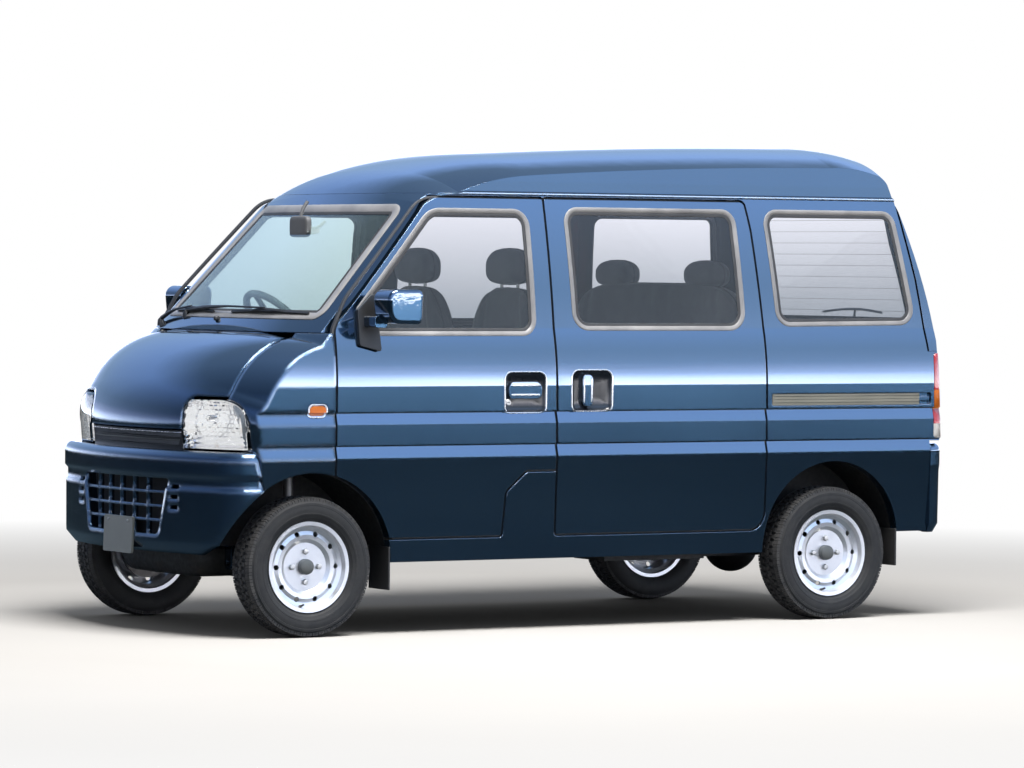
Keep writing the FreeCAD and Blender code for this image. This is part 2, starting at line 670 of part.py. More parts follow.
rear_posts = [block(x, x + 40, y, y + 40, FF - FT, FR - FT) for x in (-1500, -700, -100) for y in (-390, 350)]
rails.append(block(REAR_X - 30, REAR_X + 30, -345, 345, 470, FR - FT))
rails += [block(-602, -562, y, y + 50, 244, FF - FT) for y in (-449, 399)]
tank = block(-540, -80, 420, 640, 250, FR - FT)
arches = [front_arch, mirrored(front_arch), rear_arch, mirrored(rear_arch)]
under = floor_all.fuse(rails + rear_posts + [tank])
wheel_holes = []
for x, z, r, y0 in [(FRONT_X, AXLE_Z, size["front_arch"], 408), (REAR_X, rear_arch_z, size["rear_arch"], 470)]:
    hole = Part.makeCylinder(r, 500, V(x, y0, z), V(0, 1, 0))
    wheel_holes += [hole, mirrored(hole)]
under = under.cut(wheel_holes)
under = under.fuse(arch_liner + [mirrored(a) for a in arch_liner])
under = under.cut(block(1176 - SEAT, 1196 + SEAT, -690, 690, FF - SEAT, 1200))
under = under.cut([pillar_room, mirrored(pillar_room)])
keep("underbody", biggest(under))

# towing eye: a plate with its bore under the left rail, on a foot as wide as the rail's flange
RAIL_END = 1420 - SEAT
RAIL_FOOT = 330 - SEAT
EYE = rounded([(344, 238, 22), (396, 238, 22), (396, RAIL_FOOT, 0), (344, RAIL_FOOT, 0)])
eye_foot = block(RAIL_END - 48, RAIL_END, 344, 396, RAIL_FOOT - 9, RAIL_FOOT)
tow_eye = plate(EYE, RAIL_END - 12, RAIL_END).fuse(eye_foot)
tow_eye = tow_eye.cut(rod((RAIL_END - 20, 370, 264), (RAIL_END + 10, 370, 264), 13))
keep("front_tow_eye", biggest(tow_eye))

# cabin
DASH = rounded([(1175, 800, 0), (1175, 1084, 0), (1120, 1190, 25), (905, 1180, 30), (862, 1120, 30),
                (900, 940, 60), (980, 800, 20)][::1])
dash = hollow.common(slab([p for p in DASH], -600, 600))
keep("dashboard", biggest(dash))


def rounded_box(x0, x1, y0, y1, z0, z1, r):
    b = block(x0, x1, y0, y1, z0, z1)
    return b.makeFillet(r, b.Edges)


def seat(x, y, w, z):
    cushion = rounded_box(x - 20, x + 460, y - w / 2, y + w / 2, z, z + 150, 40)
    back = rounded_box(x - 100, x + 10, y - w / 2, y + w / 2, z + 60, z + 640, 40)
    head = rounded_box(x - 95, x + 5, y - 130, y + 130, z + 655, z + 790, 38)
    posts = [rod((x - 45, y + s * 60, z + 560), (x - 45, y + s * 60, z + 700), 8) for s in (-1, 1)]
    base = block(x + 10, x + 400, y - w / 2 + 60, y + w / 2 - 60, z - 1, z + 40)
    return fused([cushion, back, head, base] + posts)


SEAT_Z = FR + 41
front_seats = [seat(230, y, size["seat_width"], SEAT_Z) for y in (-355, 355)]
legs = []
for y in (-355, 355):
    s = 1 if y > 0 else -1
    legs.append(block(300, 640, min(s * 345, s * 560), max(s * 345, s * 560), FF, SEAT_Z + 30))
seats = []
for one, leg in zip(front_seats, legs):
    seats.append(fused([one, leg]))
keep("front_seats", Part.makeCompound(seats))
bench = fused([
    rounded_box(-700, -240, -600, 600, FR + 150, FR + 290, 45),
    rounded_box(-790, -690, -600, 600, FR + 200, FR + 700, 45),
    block(-640, -300, -500, 500, FR, FR + 180),
] + [rounded_box(-790, -700, y - 125, y + 125, FR + 690, FR + 790, 35) for y in (-330, 330)])
keep("rear_seat", bench)

WHEEL_C = V(800, -350, 1130)
wheel_axis = V(-math.cos(math.radians(42)), 0, math.sin(math.radians(42)))
ring = Part.makeTorus(185, 14, WHEEL_C, wheel_axis)
hub_disc = Part.makeCylinder(52, 46, WHEEL_C - wheel_axis * 40, wheel_axis)
spokes = []
side_dir = V(0, 1, 0)
up_dir = wheel_axis.cross(side_dir)
for a in (-20, 90, 200):
    way = side_dir * math.cos(math.radians(a)) + up_dir * -math.sin(math.radians(a))
    spokes.append(rod(tuple(WHEEL_C - wheel_axis * 15 + way * 30), tuple(WHEEL_C + way * 184), 11))
column = rod(tuple(WHEEL_C - wheel_axis * 30), tuple(WHEEL_C - wheel_axis * 68.2), 22)
keep("steering_wheel", fused([ring, hub_disc, column] + spokes))

# mirrors
MIRROR_FOOT = rounded([(975, BELT_Z - 40, 10), (1067, BELT_Z - 16, 12), (1067, 1215, 10), (990, 1288, 10)])
foot = side_prism(-16).cut(side_prism(-SEAT)).common(slab(MIRROR_FOOT, 300, 900))
arm = slab(rounded([(992, 1152, 10), (1044, 1152, 10), (1044, 1196, 10), (992, 1196, 10)]), 700, 812)
arm = arm.cut(side_prism(-SEAT))
SHELL_OUTLINE = rounded([(890, 1166, 20), (1028, 1168, 45), (1040, 1296, 40), (886, 1296, 24)])
housing = slab(SHELL_OUTLINE, 778, 904)
ends = [e for e in housing.Edges if abs(e.BoundBox.YMax - e.BoundBox.YMin) < 0.1]
housing = housing.makeFillet(14, ends)
mirror_left = biggest(biggest(foot).fuse([biggest(arm), housing]))
keep("mirror_left", mirror_left)
keep("mirror_right", mirrored(mirror_left))

# mud flaps
flaps = []
for x, y0, y1, z0, z1 in [(FRONT_X - size["front_arch"] + 6.4, 560, 712, 168, 330),
                          (REAR_X - size["rear_arch"] + 3.4, 570, 716, 205, 352)]:
    flap = rounded_box(x, x + 8, y0, y1, z0, z1, 3)
    flaps += [flap, mirrored(flap)]
keep("mud_flaps", Part.makeCompound(flaps))

# parametric mechanical parts


def bind(obj, **sizes):
    for prop, expression in sizes.items():
        obj.setExpression(prop.replace("_", "."), expression)


def prim(kind, name, place, **sizes):
    obj = doc.addObject("Part::" + kind, name)
    obj.Placement = place
    for prop, expression in sizes.items():
        obj.setExpression(prop, expression)
    return obj


def at(x, y, z, axis="z"):
    turn = {"z": Rotation(), "y": Rotation(V(1, 0, 0), -90), "x": Rotation(V(0, 1, 0), 90)}[axis]
    return Placement(V(x, y, z), turn)


def union(label, parts):
    obj = doc.addObject("Part::MultiFuse", label)
    obj.Label = label
    obj.Shapes = parts
    nodes.append(obj)
    return obj


block_body = prim("Box", "EngineCase", at(190, -size["engine_width"] / 2, 250),
                  Length="Sizes.engine_length", Width="Sizes.engine_width", Height="Sizes.engine_height")
mount_a = prim("Box", "EngineMountA", at(300, -304.5, 400), Length="60", Width="609", Height="40")
union("engine_block", [block_body, mount_a])

HUB_Y = size["hub_offset"] - 3 - SEAT
tube = prim("Cylinder", "AxleTube", at(REAR_X, -560, AXLE_Z, "y"), Radius="34", Height="1120")
diff = prim("Sphere", "DiffCase", at(REAR_X, 0, AXLE_Z), Radius="112")
axle_parts = [tube, diff]
for s in (-1, 1):
    axle_parts.append(prim("Cylinder", "AxleDrum", at(REAR_X, 560 if s > 0 else -TYRE_Y - HUB_Y, AXLE_Z, "y"), Radius="100",
                          Height=str(TYRE_Y + HUB_Y - 560)))
    axle_parts.append(prim("Box", "TrailingLink", at(REAR_X, s * 425 - 18, AXLE_Z - 18), Length=str(-602 - SEAT - REAR_X),
                          Width="36", Height="36"))
    axle_parts.append(prim("Cylinder", "RearSpring", at(REAR_X, s * 250, AXLE_Z), Radius="42", Height=str(470 - SEAT - AXLE_Z)))
union("rear_axle", axle_parts)

susp = [prim("Box", "CrossMember", at(FRONT_X - 40, -345, AXLE_Z - 62), Length="80", Width="690", Height="60"),
        prim("Box", "MountFront", at(FRONT_X - 40, -400, AXLE_Z - 62), Length="80", Width="60", Height="130"),
        prim("Box", "MountRear", at(FRONT_X - 40, 340, AXLE_Z - 62), Length="80", Width="60", Height="130")]
for s in (-1, 1):
    susp.append(prim("Box", "LowerArm", at(FRONT_X - 25, 330 if s > 0 else -518.6, AXLE_Z - 62), Length="50", Width="188.6", Height="24"))
union("front_suspension", susp)


# tyre and rim sections: half width, radius pairs from the sheet
def revolve_body(label, rows, place):
    """Wheel part turned about its own axis; rows are (across, radius) expressions."""
    body = doc.addObject("PartDesign::Body", label + "_body")
    sketch = body.newObject("Sketcher::SketchObject", label + "_section")
    sketch.AttachmentSupport = [(body.Origin.OriginFeatures[3], "")]
    sketch.MapMode = "FlatFace"
    values = [(float(a), float(b)) for a, b in rows]
    n = len(values)
    for i in range(n):
        a, b = values[i], values[(i + 1) % n]
        sketch.addGeometry(Part.LineSegment(V(a[0], a[1], 0), V(b[0], b[1], 0)), False)
    for i in range(n):
        sketch.addConstraint(Sketcher.Constraint("Coincident", i, 2, (i + 1) % n, 1))
    for i in range(n):
        sketch.addConstraint(Sketcher.Constraint("DistanceX", -1, 1, i, 1, values[i][0]))
        sketch.addConstraint(Sketcher.Constraint("DistanceY", -1, 1, i, 1, values[i][1]))
    turned = body.newObject("PartDesign::Revolution", label + "_turned")
    turned.Profile = sketch
    turned.ReferenceAxis = (sketch, ["H_Axis"])
    turned.Angle = 360
    body.Tip = turned
    body.Label = label
    body.Placement = place
    return body, sketch, turned


def hole_ring(body, kind):
    """Round holes through the disc, spaced evenly on a circle, from sheet values."""
    sketch = body.newObject("Sketcher::SketchObject", kind + "_hole")
    sketch.AttachmentSupport = [(body.Origin.OriginFeatures[5], "")]
    sketch.MapMode = "FlatFace"
    sketch.addGeometry(Part.Circle(V(size[kind + "_circle"], 0, 0), V(0, 0, 1), size[kind + "_radius"]), False)
    sketch.addConstraint(Sketcher.Constraint("PointOnObject", 0, 3, -1))
    sketch.addConstraint(Sketcher.Constraint("DistanceX", -1, 1, 0, 3, size[kind + "_circle"]))
    sketch.addConstraint(Sketcher.Constraint("Radius", 0, size[kind + "_radius"]))
    sketch.setExpression("Constraints[1]", "Sizes.%s_circle" % kind)
    sketch.setExpression("Constraints[2]", "Sizes.%s_radius" % kind)
    pocket = body.newObject("PartDesign::Pocket", kind + "_pocket")
    pocket.Profile = sketch
    pocket.Type = 1
    pocket.Midplane = True
    ring = body.newObject("PartDesign::PolarPattern", kind + "_ring")
    ring.Originals = [pocket]
    ring.Axis = (body.Origin.OriginFeatures[0], [""])
    ring.Angle = 360
    ring.setExpression("Occurrences", "Sizes.%s_count" % kind)
    body.Tip = ring


W = size["tyre_width"] / 2
R = size["tyre_radius"]
B = size["rim_radius"]
HUB = size["hub_offset"]
TYRE_ROWS = [
    (-W + 19.4, B - 9.6), (-W + 17.4, B + 0.6), (-W, B + 42), (-W + 13, R - 8), (-W + 24, R),
    (W - 24, R), (W - 13, R - 8), (W, B + 42), (W - 17.4, B + 0.6), (W - 19.4, B - 9.6),
]
RIM_ROWS = [
    (-W + 17, B), (-W + 19, B - 10), (-W + 34, B - 12), (-W + 40, B - 26), (HUB + 6, B - 26),
    (HUB + 13, B - 12), (W - 19, B - 10), (W - 17, B), (W - 12, B), (W - 13, B - 14),
    (HUB + 16, B - 20), (HUB + 9, B - 36), (HUB + 14, B - 50), (HUB + 12, B - 66), (HUB + 2, B - 80),
    (HUB + 2, 29), (HUB + 12, 29), (HUB + 12, 24), (HUB - 3, 24), (HUB - 3, B - 77), (HUB + 7, B - 63),
    (HUB + 8, B - 51), (HUB + 3, B - 31), (-W + 36, B - 31), (-W + 30, B - 17), (-W + 13, B - 14), (-W + 12, B),
]
WHEELS = [
    # suffix, x, side
    ("front_left", FRONT_X, 1),
    ("front_right", FRONT_X, -1),
    ("rear_left", REAR_X, 1),
    ("rear_right", REAR_X, -1),
]
for suffix, x, s in WHEELS:
    turn = Rotation(V(0, 0, 1), 90 if s > 0 else -90)
    place = Placement(V(x, s * TYRE_Y, AXLE_Z), turn)
    tyre_body, sketch, turned = revolve_body("tyre_" + suffix, TYRE_ROWS, place)
    nodes.append(tyre_body)
    rim_body, sketch, turned = revolve_body("rim_" + suffix, RIM_ROWS, place)
    hole_ring(rim_body, "vent")
    hole_ring(rim_body, "bolt")
    nodes.append(rim_body)

# knuckles carry the front wheels and turn on the kingpin
KY = size["kingpin_offset"]
for suffix, s in (("left", 1), ("right", -1)):
    def ys(a, b):
        return min(s * a, s * b), abs(b - a)
    y_hub, w_hub = ys(KY - 10, TYRE_Y + HUB_Y)
    y_disc, w_disc = ys(TYRE_Y - 42, TYRE_Y - 30)
    parts = [
        prim("Cylinder", "Hub", at(FRONT_X, y_hub, AXLE_Z, "y"), Radius="26", Height=str(w_hub)),
        prim("Cylinder", "BrakeDisc", at(FRONT_X, y_disc, AXLE_Z, "y"), Radius="112", Height=str(w_disc)),
        prim("Cylinder", "StrutTube", at(FRONT_X, s * KY, AXLE_Z - 66), Radius="19", Height="402"),
    ]
    union("knuckle_" + suffix, parts)

doc.recompute()

# export
os.makedirs("parts", exist_ok=True)
for obj in doc.Objects:
    if "Invalid" in obj.State or "Error" in obj.State:
        raise RuntimeError("%s: %s" % (obj.Label, obj.State))
for obj in nodes:
    shape = obj.Shape
    if not shape.isValid() or not shape.Solids:
        raise RuntimeError("%s is not a valid solid" % obj.Label)
    shape.exportStep("parts/%s.step" % obj.Label)
    print("%-28s %3d faces %2d solids %9.0f cm3" % (obj.Label, len(shape.Faces), len(shape.Solids), shape.Volume / 1000))
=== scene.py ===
import math

import bmesh
import bpy
from mathutils import Matrix, Vector
from mathutils.bvhtree import BVHTree


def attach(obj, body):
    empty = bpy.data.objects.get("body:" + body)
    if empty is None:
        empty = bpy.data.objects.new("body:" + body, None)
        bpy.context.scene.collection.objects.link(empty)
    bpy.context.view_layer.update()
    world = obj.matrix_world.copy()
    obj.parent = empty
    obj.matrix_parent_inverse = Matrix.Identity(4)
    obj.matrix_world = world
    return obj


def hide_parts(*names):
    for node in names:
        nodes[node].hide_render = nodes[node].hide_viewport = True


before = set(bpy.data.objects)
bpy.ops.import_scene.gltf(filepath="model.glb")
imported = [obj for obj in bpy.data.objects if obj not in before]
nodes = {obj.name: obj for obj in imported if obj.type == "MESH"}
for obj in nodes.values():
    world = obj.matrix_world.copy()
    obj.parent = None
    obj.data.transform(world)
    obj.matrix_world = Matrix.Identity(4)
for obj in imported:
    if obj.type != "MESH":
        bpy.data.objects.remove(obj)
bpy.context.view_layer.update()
scene = bpy.context.scene

SIDES = (("left", 1), ("right", -1))
FRONT_AXLE = 1.2575
REAR_AXLE = -1.0925
AXLE_HEIGHT = 0.262
TYRE_CENTRE = 0.645


# camera
AZIMUTH, RISE, ROLL = 2.594291, 0.0229243, 0.008114
back = Vector((math.sin(AZIMUTH) * math.cos(RISE), -math.cos(AZIMUTH) * math.cos(RISE), math.sin(RISE)))
right = Vector((math.cos(AZIMUTH), math.sin(AZIMUTH), 0))
up = back.cross(right)
level_right = right * math.cos(ROLL) + up * math.sin(ROLL)
level_up = up * math.cos(ROLL) - right * math.sin(ROLL)
place = Matrix((level_right, level_up, back)).transposed().to_4x4()
place.translation = Vector((-0.0718, 0, 0.9335)) + back * 20.0678
camera_data = bpy.data.cameras.new("camera")
camera_data.lens = 178.0
camera_data.sensor_width = 36
camera_data.shift_x = -0.0055
camera_data.shift_y = -0.0039
camera_data.clip_end = 200
camera = bpy.data.objects.new("camera", camera_data)
camera.matrix_world = place
scene.collection.objects.link(camera)
scene.camera = camera
scene.view_settings.view_transform = "Standard"


# node helpers
class Finish:
    """A material under construction, with short ways to add and join its nodes."""

    def __init__(self, name):
        self.material = bpy.data.materials.new(name)
        self.material.use_nodes = True
        self.tree = self.material.node_tree
        self.shader = self.tree.nodes["Principled BSDF"]
        self.place = self.add("ShaderNodeTexCoord").outputs["Object"]

    def add(self, kind, **settings):
        node = self.tree.nodes.new(kind)
        for key, value in settings.items():
            setattr(node, key, value)
        return node

    def join(self, start, end):
        self.tree.links.new(start, end)

    def put(self, **values):
        for key, value in values.items():
            socket = self.shader.inputs[key.replace("_", " ")]
            if isinstance(value, tuple) and len(value) == 3:
                value = value + (1,)
            if isinstance(value, bpy.types.NodeSocket):
                self.join(value, socket)
            else:
                socket.default_value = value

    def noise(self, scale, detail=3.0, rough=0.5, stretch=None):
        node = self.add("ShaderNodeTexNoise")
        node.inputs["Scale"].default_value = scale
        node.inputs["Detail"].default_value = detail
        node.inputs["Roughness"].default_value = rough
        self.join(self.stretched(stretch), node.inputs["Vector"])
        return node.outputs["Fac"]

    def stretched(self, stretch):
        if stretch is None:
            return self.place
        node = self.add("ShaderNodeMapping")
        node.inputs["Scale"].default_value = stretch
        self.join(self.place, node.inputs["Vector"])
        return node.outputs["Vector"]

    def cells(self, scale):
        node = self.add("ShaderNodeTexVoronoi", feature="F1")
        node.inputs["Scale"].default_value = scale
        self.join(self.place, node.inputs["Vector"])
        return node.outputs["Distance"]

    def ramp(self, value, *stops):
        node = self.add("ShaderNodeValToRGB")
        ramp = node.color_ramp
        while len(ramp.elements) < len(stops):
            ramp.elements.new(0.5)
        for element, (spot, colour) in zip(ramp.elements, stops):
            element.position = spot
            element.color = colour + (1,) if isinstance(colour, tuple) else (colour, colour, colour, 1)
        self.join(value, node.inputs["Fac"])
        return node.outputs["Color"]

    def axis(self, which):
        node = self.add("ShaderNodeSeparateXYZ")
        self.join(self.place, node.inputs["Vector"])
        return node.outputs[which]

    def math(self, operation, a, b=0.0, c=0.0):
        node = self.add("ShaderNodeMath", operation=operation)
        for slot, value in enumerate((a, b, c)):
            if isinstance(value, bpy.types.NodeSocket):
                self.join(value, node.inputs[slot])
            else:
                node.inputs[slot].default_value = value
        return node.outputs["Value"]

    def mix(self, fac, a, b, blend="MIX"):
        node = self.add("ShaderNodeMix", data_type="RGBA", blend_type=blend)
        for slot, value in ((0, fac), (6, a), (7, b)):
            if isinstance(value, bpy.types.NodeSocket):
                self.join(value, node.inputs[slot])
            elif slot == 0:
                node.inputs[slot].default_value = value
            else:
                node.inputs[slot].default_value = value + (1,)
        return node.outputs[2]

    def bump(self, height, strength=0.2, distance=0.001, coat=False):
        node = self.add("ShaderNodeBump")
        node.inputs["Strength"].default_value = strength
        node.inputs["Distance"].default_value = distance
        self.join(height, node.inputs["Height"])
        self.join(node.outputs["Normal"], self.shader.inputs["Coat Normal" if coat else "Normal"])
        return node


# finishes
def body_paint(name="navy metallic paint", round_over=0.0035):
    """Dark blue base with fine metal flake under a clear coat; panel edges catch the light."""
    f = Finish(name)
    flake = f.cells(900)
    tone = f.ramp(flake, (0.0, (0.060, 0.125, 0.205)), (0.6, (0.033, 0.077, 0.142)))
    shade = f.noise(1.1, 2.0)
    f.put(Base_Color=f.mix(f.ramp(shade, (0.35, 0.0), (0.75, 0.3)), tone, (0.026, 0.064, 0.124)))
    f.put(Metallic=0.95, Roughness=0.13, Coat_Weight=1.0, Coat_Roughness=0.012, Coat_IOR=1.8)
    edge = f.add("ShaderNodeBevel", samples=6)
    edge.inputs["Radius"].default_value = round_over
    sway = f.bump(f.noise(1.3, 1.0, 0.4, (1.0, 1.0, 0.5)), 0.6, 0.006)
    f.join(edge.outputs["Normal"], sway.inputs["Normal"])
    peel = f.bump(f.noise(60, 2.0), 0.05, 0.0005, coat=True)
    f.join(sway.outputs["Normal"], peel.inputs["Normal"])
    return f.material


def rubber(name="window rubber", tone=0.022, rough=0.55):
    f = Finish(name)
    grain = f.noise(420, 2.0)
    f.put(Base_Color=f.ramp(f.noise(9, 3.0), (0.3, (tone, tone, tone * 1.05)),
                            (0.8, (tone * 1.7, tone * 1.7, tone * 1.75))))
    f.put(Roughness=f.ramp(grain, (0.2, rough - 0.08), (0.8, rough + 0.1)))
    f.bump(grain, 0.15, 0.0004)
    return f.material


def moulded(name, colour, rough=0.5, grain_scale=900, strength=0.25):
    """Grained moulded plastic."""
    f = Finish(name)
    dark = tuple(c * 0.82 for c in colour)
    f.put(Base_Color=f.ramp(f.noise(7, 3.0), (0.3, dark), (0.75, colour)))
    grain = f.cells(grain_scale)
    f.put(Roughness=f.ramp(grain, (0.0, rough + 0.08), (0.7, rough - 0.06)))
    f.bump(grain, strength, 0.0004)
    return f.material


def clear_glass(name, tint, shade=None, rough=0.0):
    f = Finish(name)
    smear = f.noise(3.2, 4.0, 0.6, (1, 1, 0.4))
    if shade:
        # painted reflection: the glass colour runs from a darker grey low down to a paler tint high up
        height = f.math("MULTIPLY_ADD", f.axis("Z"), 1 / 0.48, -1.14 / 0.48)
        f.put(Base_Color=f.ramp(height, (0.0, shade), (0.45, tuple((a + b) / 2 for a, b in zip(shade, tint))),
                                (0.95, tint)))
    else:
        f.put(Base_Color=tint)
    f.put(Transmission_Weight=1.0, IOR=1.45)
    f.put(Roughness=f.ramp(smear, (0.45, rough), (0.95, rough + 0.02)))
    return f.material


def steel_silver():
    f = Finish("silver wheel lacquer")
    grain = f.noise(700, 2.0)
    dirt = f.noise(14, 5.0, 0.65)
    f.put(Base_Color=f.mix(f.ramp(dirt, (0.5, 0.0), (0.9, 0.35)), (0.62, 0.63, 0.66), (0.42, 0.42, 0.43)))
    f.put(Metallic=0.75, Roughness=f.ramp(grain, (0.2, 0.3), (0.8, 0.42)), Coat_Weight=0.3)
    f.bump(grain, 0.08, 0.0004)
    return f.material


def tyre_rubber(name="tyre rubber", wear=1.0):
    f = Finish(name)
    dust = f.noise(22, 5.0, 0.6)
    grain = f.noise(500, 3.0)
    f.put(Base_Color=f.ramp(dust, (0.35, (0.0085 * wear, 0.0085 * wear, 0.009 * wear)),
                            (0.8, (0.021 * wear, 0.0205 * wear, 0.020 * wear))))
    f.put(Roughness=f.ramp(grain, (0.2, 0.62), (0.8, 0.8)))
    f.bump(grain, 0.3, 0.0005)
    return f.material


def woven_cloth():
    f = Finish("grey seat cloth")
    warp = f.add("ShaderNodeTexWave", bands_direction="Z")
    warp.inputs["Scale"].default_value = 160
    weft = f.add("ShaderNodeTexWave", bands_direction="Y")
    weft.inputs["Scale"].default_value = 160
    for node in (warp, weft):
        f.join(f.place, node.inputs["Vector"])
    weave = f.math("MULTIPLY", warp.outputs["Fac"], weft.outputs["Fac"])
    shade = f.noise(30, 4.0)
    colour = f.mix(f.ramp(shade, (0.35, 0.0), (0.7, 1.0)), (0.115, 0.118, 0.125), (0.17, 0.172, 0.18))
    f.put(Base_Color=f.mix(f.ramp(weave, (0.0, 0.55), (0.6, 0.0)), colour, (0.05, 0.052, 0.057)))
    f.put(Roughness=0.92, Sheen_Weight=0.35, Sheen_Roughness=0.5)
    f.bump(weave, 0.5, 0.0008)
    return f.material


def dark_metal(name, colour, rough=0.55, metallic=0.6):
    f = Finish(name)
    rust = f.noise(18, 6.0, 0.65)
    f.put(Base_Color=f.mix(f.ramp(rust, (0.55, 0.0), (0.8, 0.5)), colour,
                           (colour[0] * 0.8 + 0.03, colour[1] * 0.7 + 0.012, colour[2] * 0.6)))
    f.put(Metallic=metallic, Roughness=f.ramp(f.noise(60, 4.0), (0.3, rough - 0.1), (0.8, rough + 0.15)))
    f.bump(rust, 0.2, 0.001)
    return f.material


def lamp_lens(name, tint, flutes=120, direction="Z"):
    """Coloured acrylic with moulded flutes."""
    f = Finish(name)
    wave = f.add("ShaderNodeTexWave", bands_direction=direction)
    wave.inputs["Scale"].default_value = flutes
    f.join(f.place, wave.inputs["Vector"])
    f.put(Base_Color=f.ramp(wave.outputs["Fac"], (0.0, tuple(c * 0.75 for c in tint)), (1.0, tint)))
    f.put(Roughness=0.12, Transmission_Weight=0.35, Coat_Weight=1.0, Coat_Roughness=0.02)
    f.bump(wave.outputs["Fac"], 0.35, 0.001)
    return f.material


paint = body_paint()
nose_paint = body_paint("navy metallic paint, pressed corners", 0.022)
seal_black = rubber()
tyre_black = tyre_rubber()
tread_black = tyre_rubber("tyre tread", 2.6)
wheel_silver = steel_silver()
cloth = woven_cloth()
screen_glass = clear_glass("windscreen glass", (0.72, 0.93, 0.92))
# the third colour is painted reflection, the darker grey of the lower glass
side_glass = clear_glass("side glass", (0.93, 0.93, 0.97), (0.56, 0.59, 0.63))
lamp_clear = clear_glass("lamp cover", (0.97, 0.98, 0.98))
lamp_amber = lamp_lens("amber lens", (0.95, 0.25, 0.02))
lamp_red = lamp_lens("red lens", (0.62, 0.012, 0.012))
trim_black = moulded("black moulding", (0.0095, 0.0095, 0.010), 0.42)
trim_grey = moulded("grey cabin plastic", (0.105, 0.108, 0.115), 0.6, 700)
flap_rubber = rubber("flap rubber", 0.014, 0.6)
under_black = dark_metal("underseal", (0.012, 0.012, 0.012), 0.7, 0.1)
chassis_black = dark_metal("chassis black", (0.018, 0.018, 0.019), 0.55, 0.4)
cast_metal = dark_metal("cast metal", (0.16, 0.155, 0.15), 0.5, 0.8)


def wear(obj, material):
    obj.data.materials.clear()
    obj.data.materials.append(material)


def finish_of(name):
    """The material of a CAD node, by how its name starts."""
    if "glass" in name:
        return side_glass
    return next((material for start, material in WORN if name.startswith(start)), paint)


WORN = (
    ("tyre", tyre_black), ("rim", wheel_silver), ("windscreen", screen_glass), ("headlamps", lamp_clear),
    ("tail_lamps", lamp_red), ("side_repeaters", lamp_amber), ("front_seats", cloth), ("rear_seat", cloth),
    ("dashboard", trim_grey), ("steering_wheel", trim_grey), ("mud_flaps", flap_rubber), ("upper_grille", trim_black),
    ("underbody", under_black), ("front_suspension", chassis_black), ("rear_axle", chassis_black),
    ("engine_block", cast_metal), ("knuckle", cast_metal), ("fender", nose_paint), ("front_bumper", nose_paint),
    ("bonnet", nose_paint),
)
for name, obj in nodes.items():
    wear(obj, finish_of(name))

# shape helpers
def finished(name, shape, materials, body, sharp=35):
    """A mesh piece that rides on a body; shape is its verts, its faces and, where they differ, the faces' slots."""
    verts, faces, slots = shape if len(shape) == 3 else (*shape, None)
    mesh = bpy.data.meshes.new(name)
    mesh.from_pydata([tuple(v) for v in verts], [], [tuple(f) for f in faces])
    for material in materials:
        mesh.materials.append(material)
    if slots:
        for face, slot in zip(mesh.polygons, slots):
            face.material_index = slot
    return settled(name, mesh, body, sharp)


def ringed(rings):
    """Closed shape through loops of equal length, with flat ends."""
    n = len(rings[0])
    verts = [spot for ring in rings for spot in ring]
    faces = []
    for i in range(len(rings) - 1):
        for k in range(n):
            l = (k + 1) % n
            faces.append((i * n + k, i * n + l, i * n + n + l, i * n + n + k))
    last = (len(rings) - 1) * n
    return verts, faces + [tuple(range(n)), tuple(last + k for k in range(n))]


def settled(name, mesh, body, sharp=35, outward=True):
    work = bmesh.new()
    work.from_mesh(mesh)
    bmesh.ops.remove_doubles(work, verts=work.verts, dist=0.00002)
    if outward:
        bmesh.ops.recalc_face_normals(work, faces=work.faces)
    work.to_mesh(mesh)
    work.free()
    mesh.shade_smooth()
    mesh.set_sharp_from_angle(angle=math.radians(sharp))
    obj = bpy.data.objects.new(name, mesh)
    scene.collection.objects.link(obj)
    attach(obj, body)
    return obj


def rounded(corners, step=6):
    """Points along a closed outline whose (u, v, radius) corners are rounded."""
    points = []
    n = len(corners)
    for i in range(n):
        u, v, r = corners[i]
        spot = Vector((u, v))
        if not r:
            points.append(spot)
            continue
        a = (Vector(corners[i - 1][:2]) - spot).normalized()
        b = (Vector(corners[(i + 1) % n][:2]) - spot).normalized()
        half = a.angle(b) / 2
        centre = spot + (a + b).normalized() * (r / math.sin(half))
        start = spot + a * (r / math.tan(half)) - centre
        end = spot + b * (r / math.tan(half)) - centre
        total = start.angle(end)
        for k in range(step + 1):
            t = k / step
            points.append(centre + (start * math.sin((1 - t) * total) + end * math.sin(t * total)) / math.sin(total))
    return points


def stepped(points, gap=0.035, closed=True):
    """The same outline with its long straight runs divided."""
    dense = []
    n = len(points)
    for i in range(n if closed else n - 1):
        a, b = points[i], points[(i + 1) % n]
        count = max(1, int((b - a).length / gap))
        dense += [a.lerp(b, k / count) for k in range(count)]
    if not closed:
        dense.append(points[-1])
    return dense


SKIN = [(0.271, 0.7005), (0.36, 0.7155), (0.64, 0.7345), (0.666, 0.7365), (0.708, 0.7255), (0.712, 0.7355),
        (0.79, 0.7355), (0.832, 0.7245), (0.836, 0.7375), (0.932, 0.7375)]
CURVES = [(0.932, 1.04, 1.15, 0.7375, 0.7305, 0.7115), (1.15, 1.4, 1.654, 0.7115, 0.6795, 0.6305)]


def skin_y(z):
    """Half width of the van's side at height z."""
    for (z0, y0), (z1, y1) in zip(SKIN, SKIN[1:]):
        if z <= z1:
            return y0 + (y1 - y0) * (z - z0) / (z1 - z0)
    z0, zm, z1, y0, ym, y1 = CURVES[0] if z < 1.15 else CURVES[1]
    a = (z - zm) * (z - z1) / ((z0 - zm) * (z0 - z1))
    b = (z - z0) * (z - z1) / ((zm - z0) * (zm - z1))
    c = (z - z0) * (z - zm) / ((z1 - z0) * (z1 - zm))
    return a * y0 + b * ym + c * y1


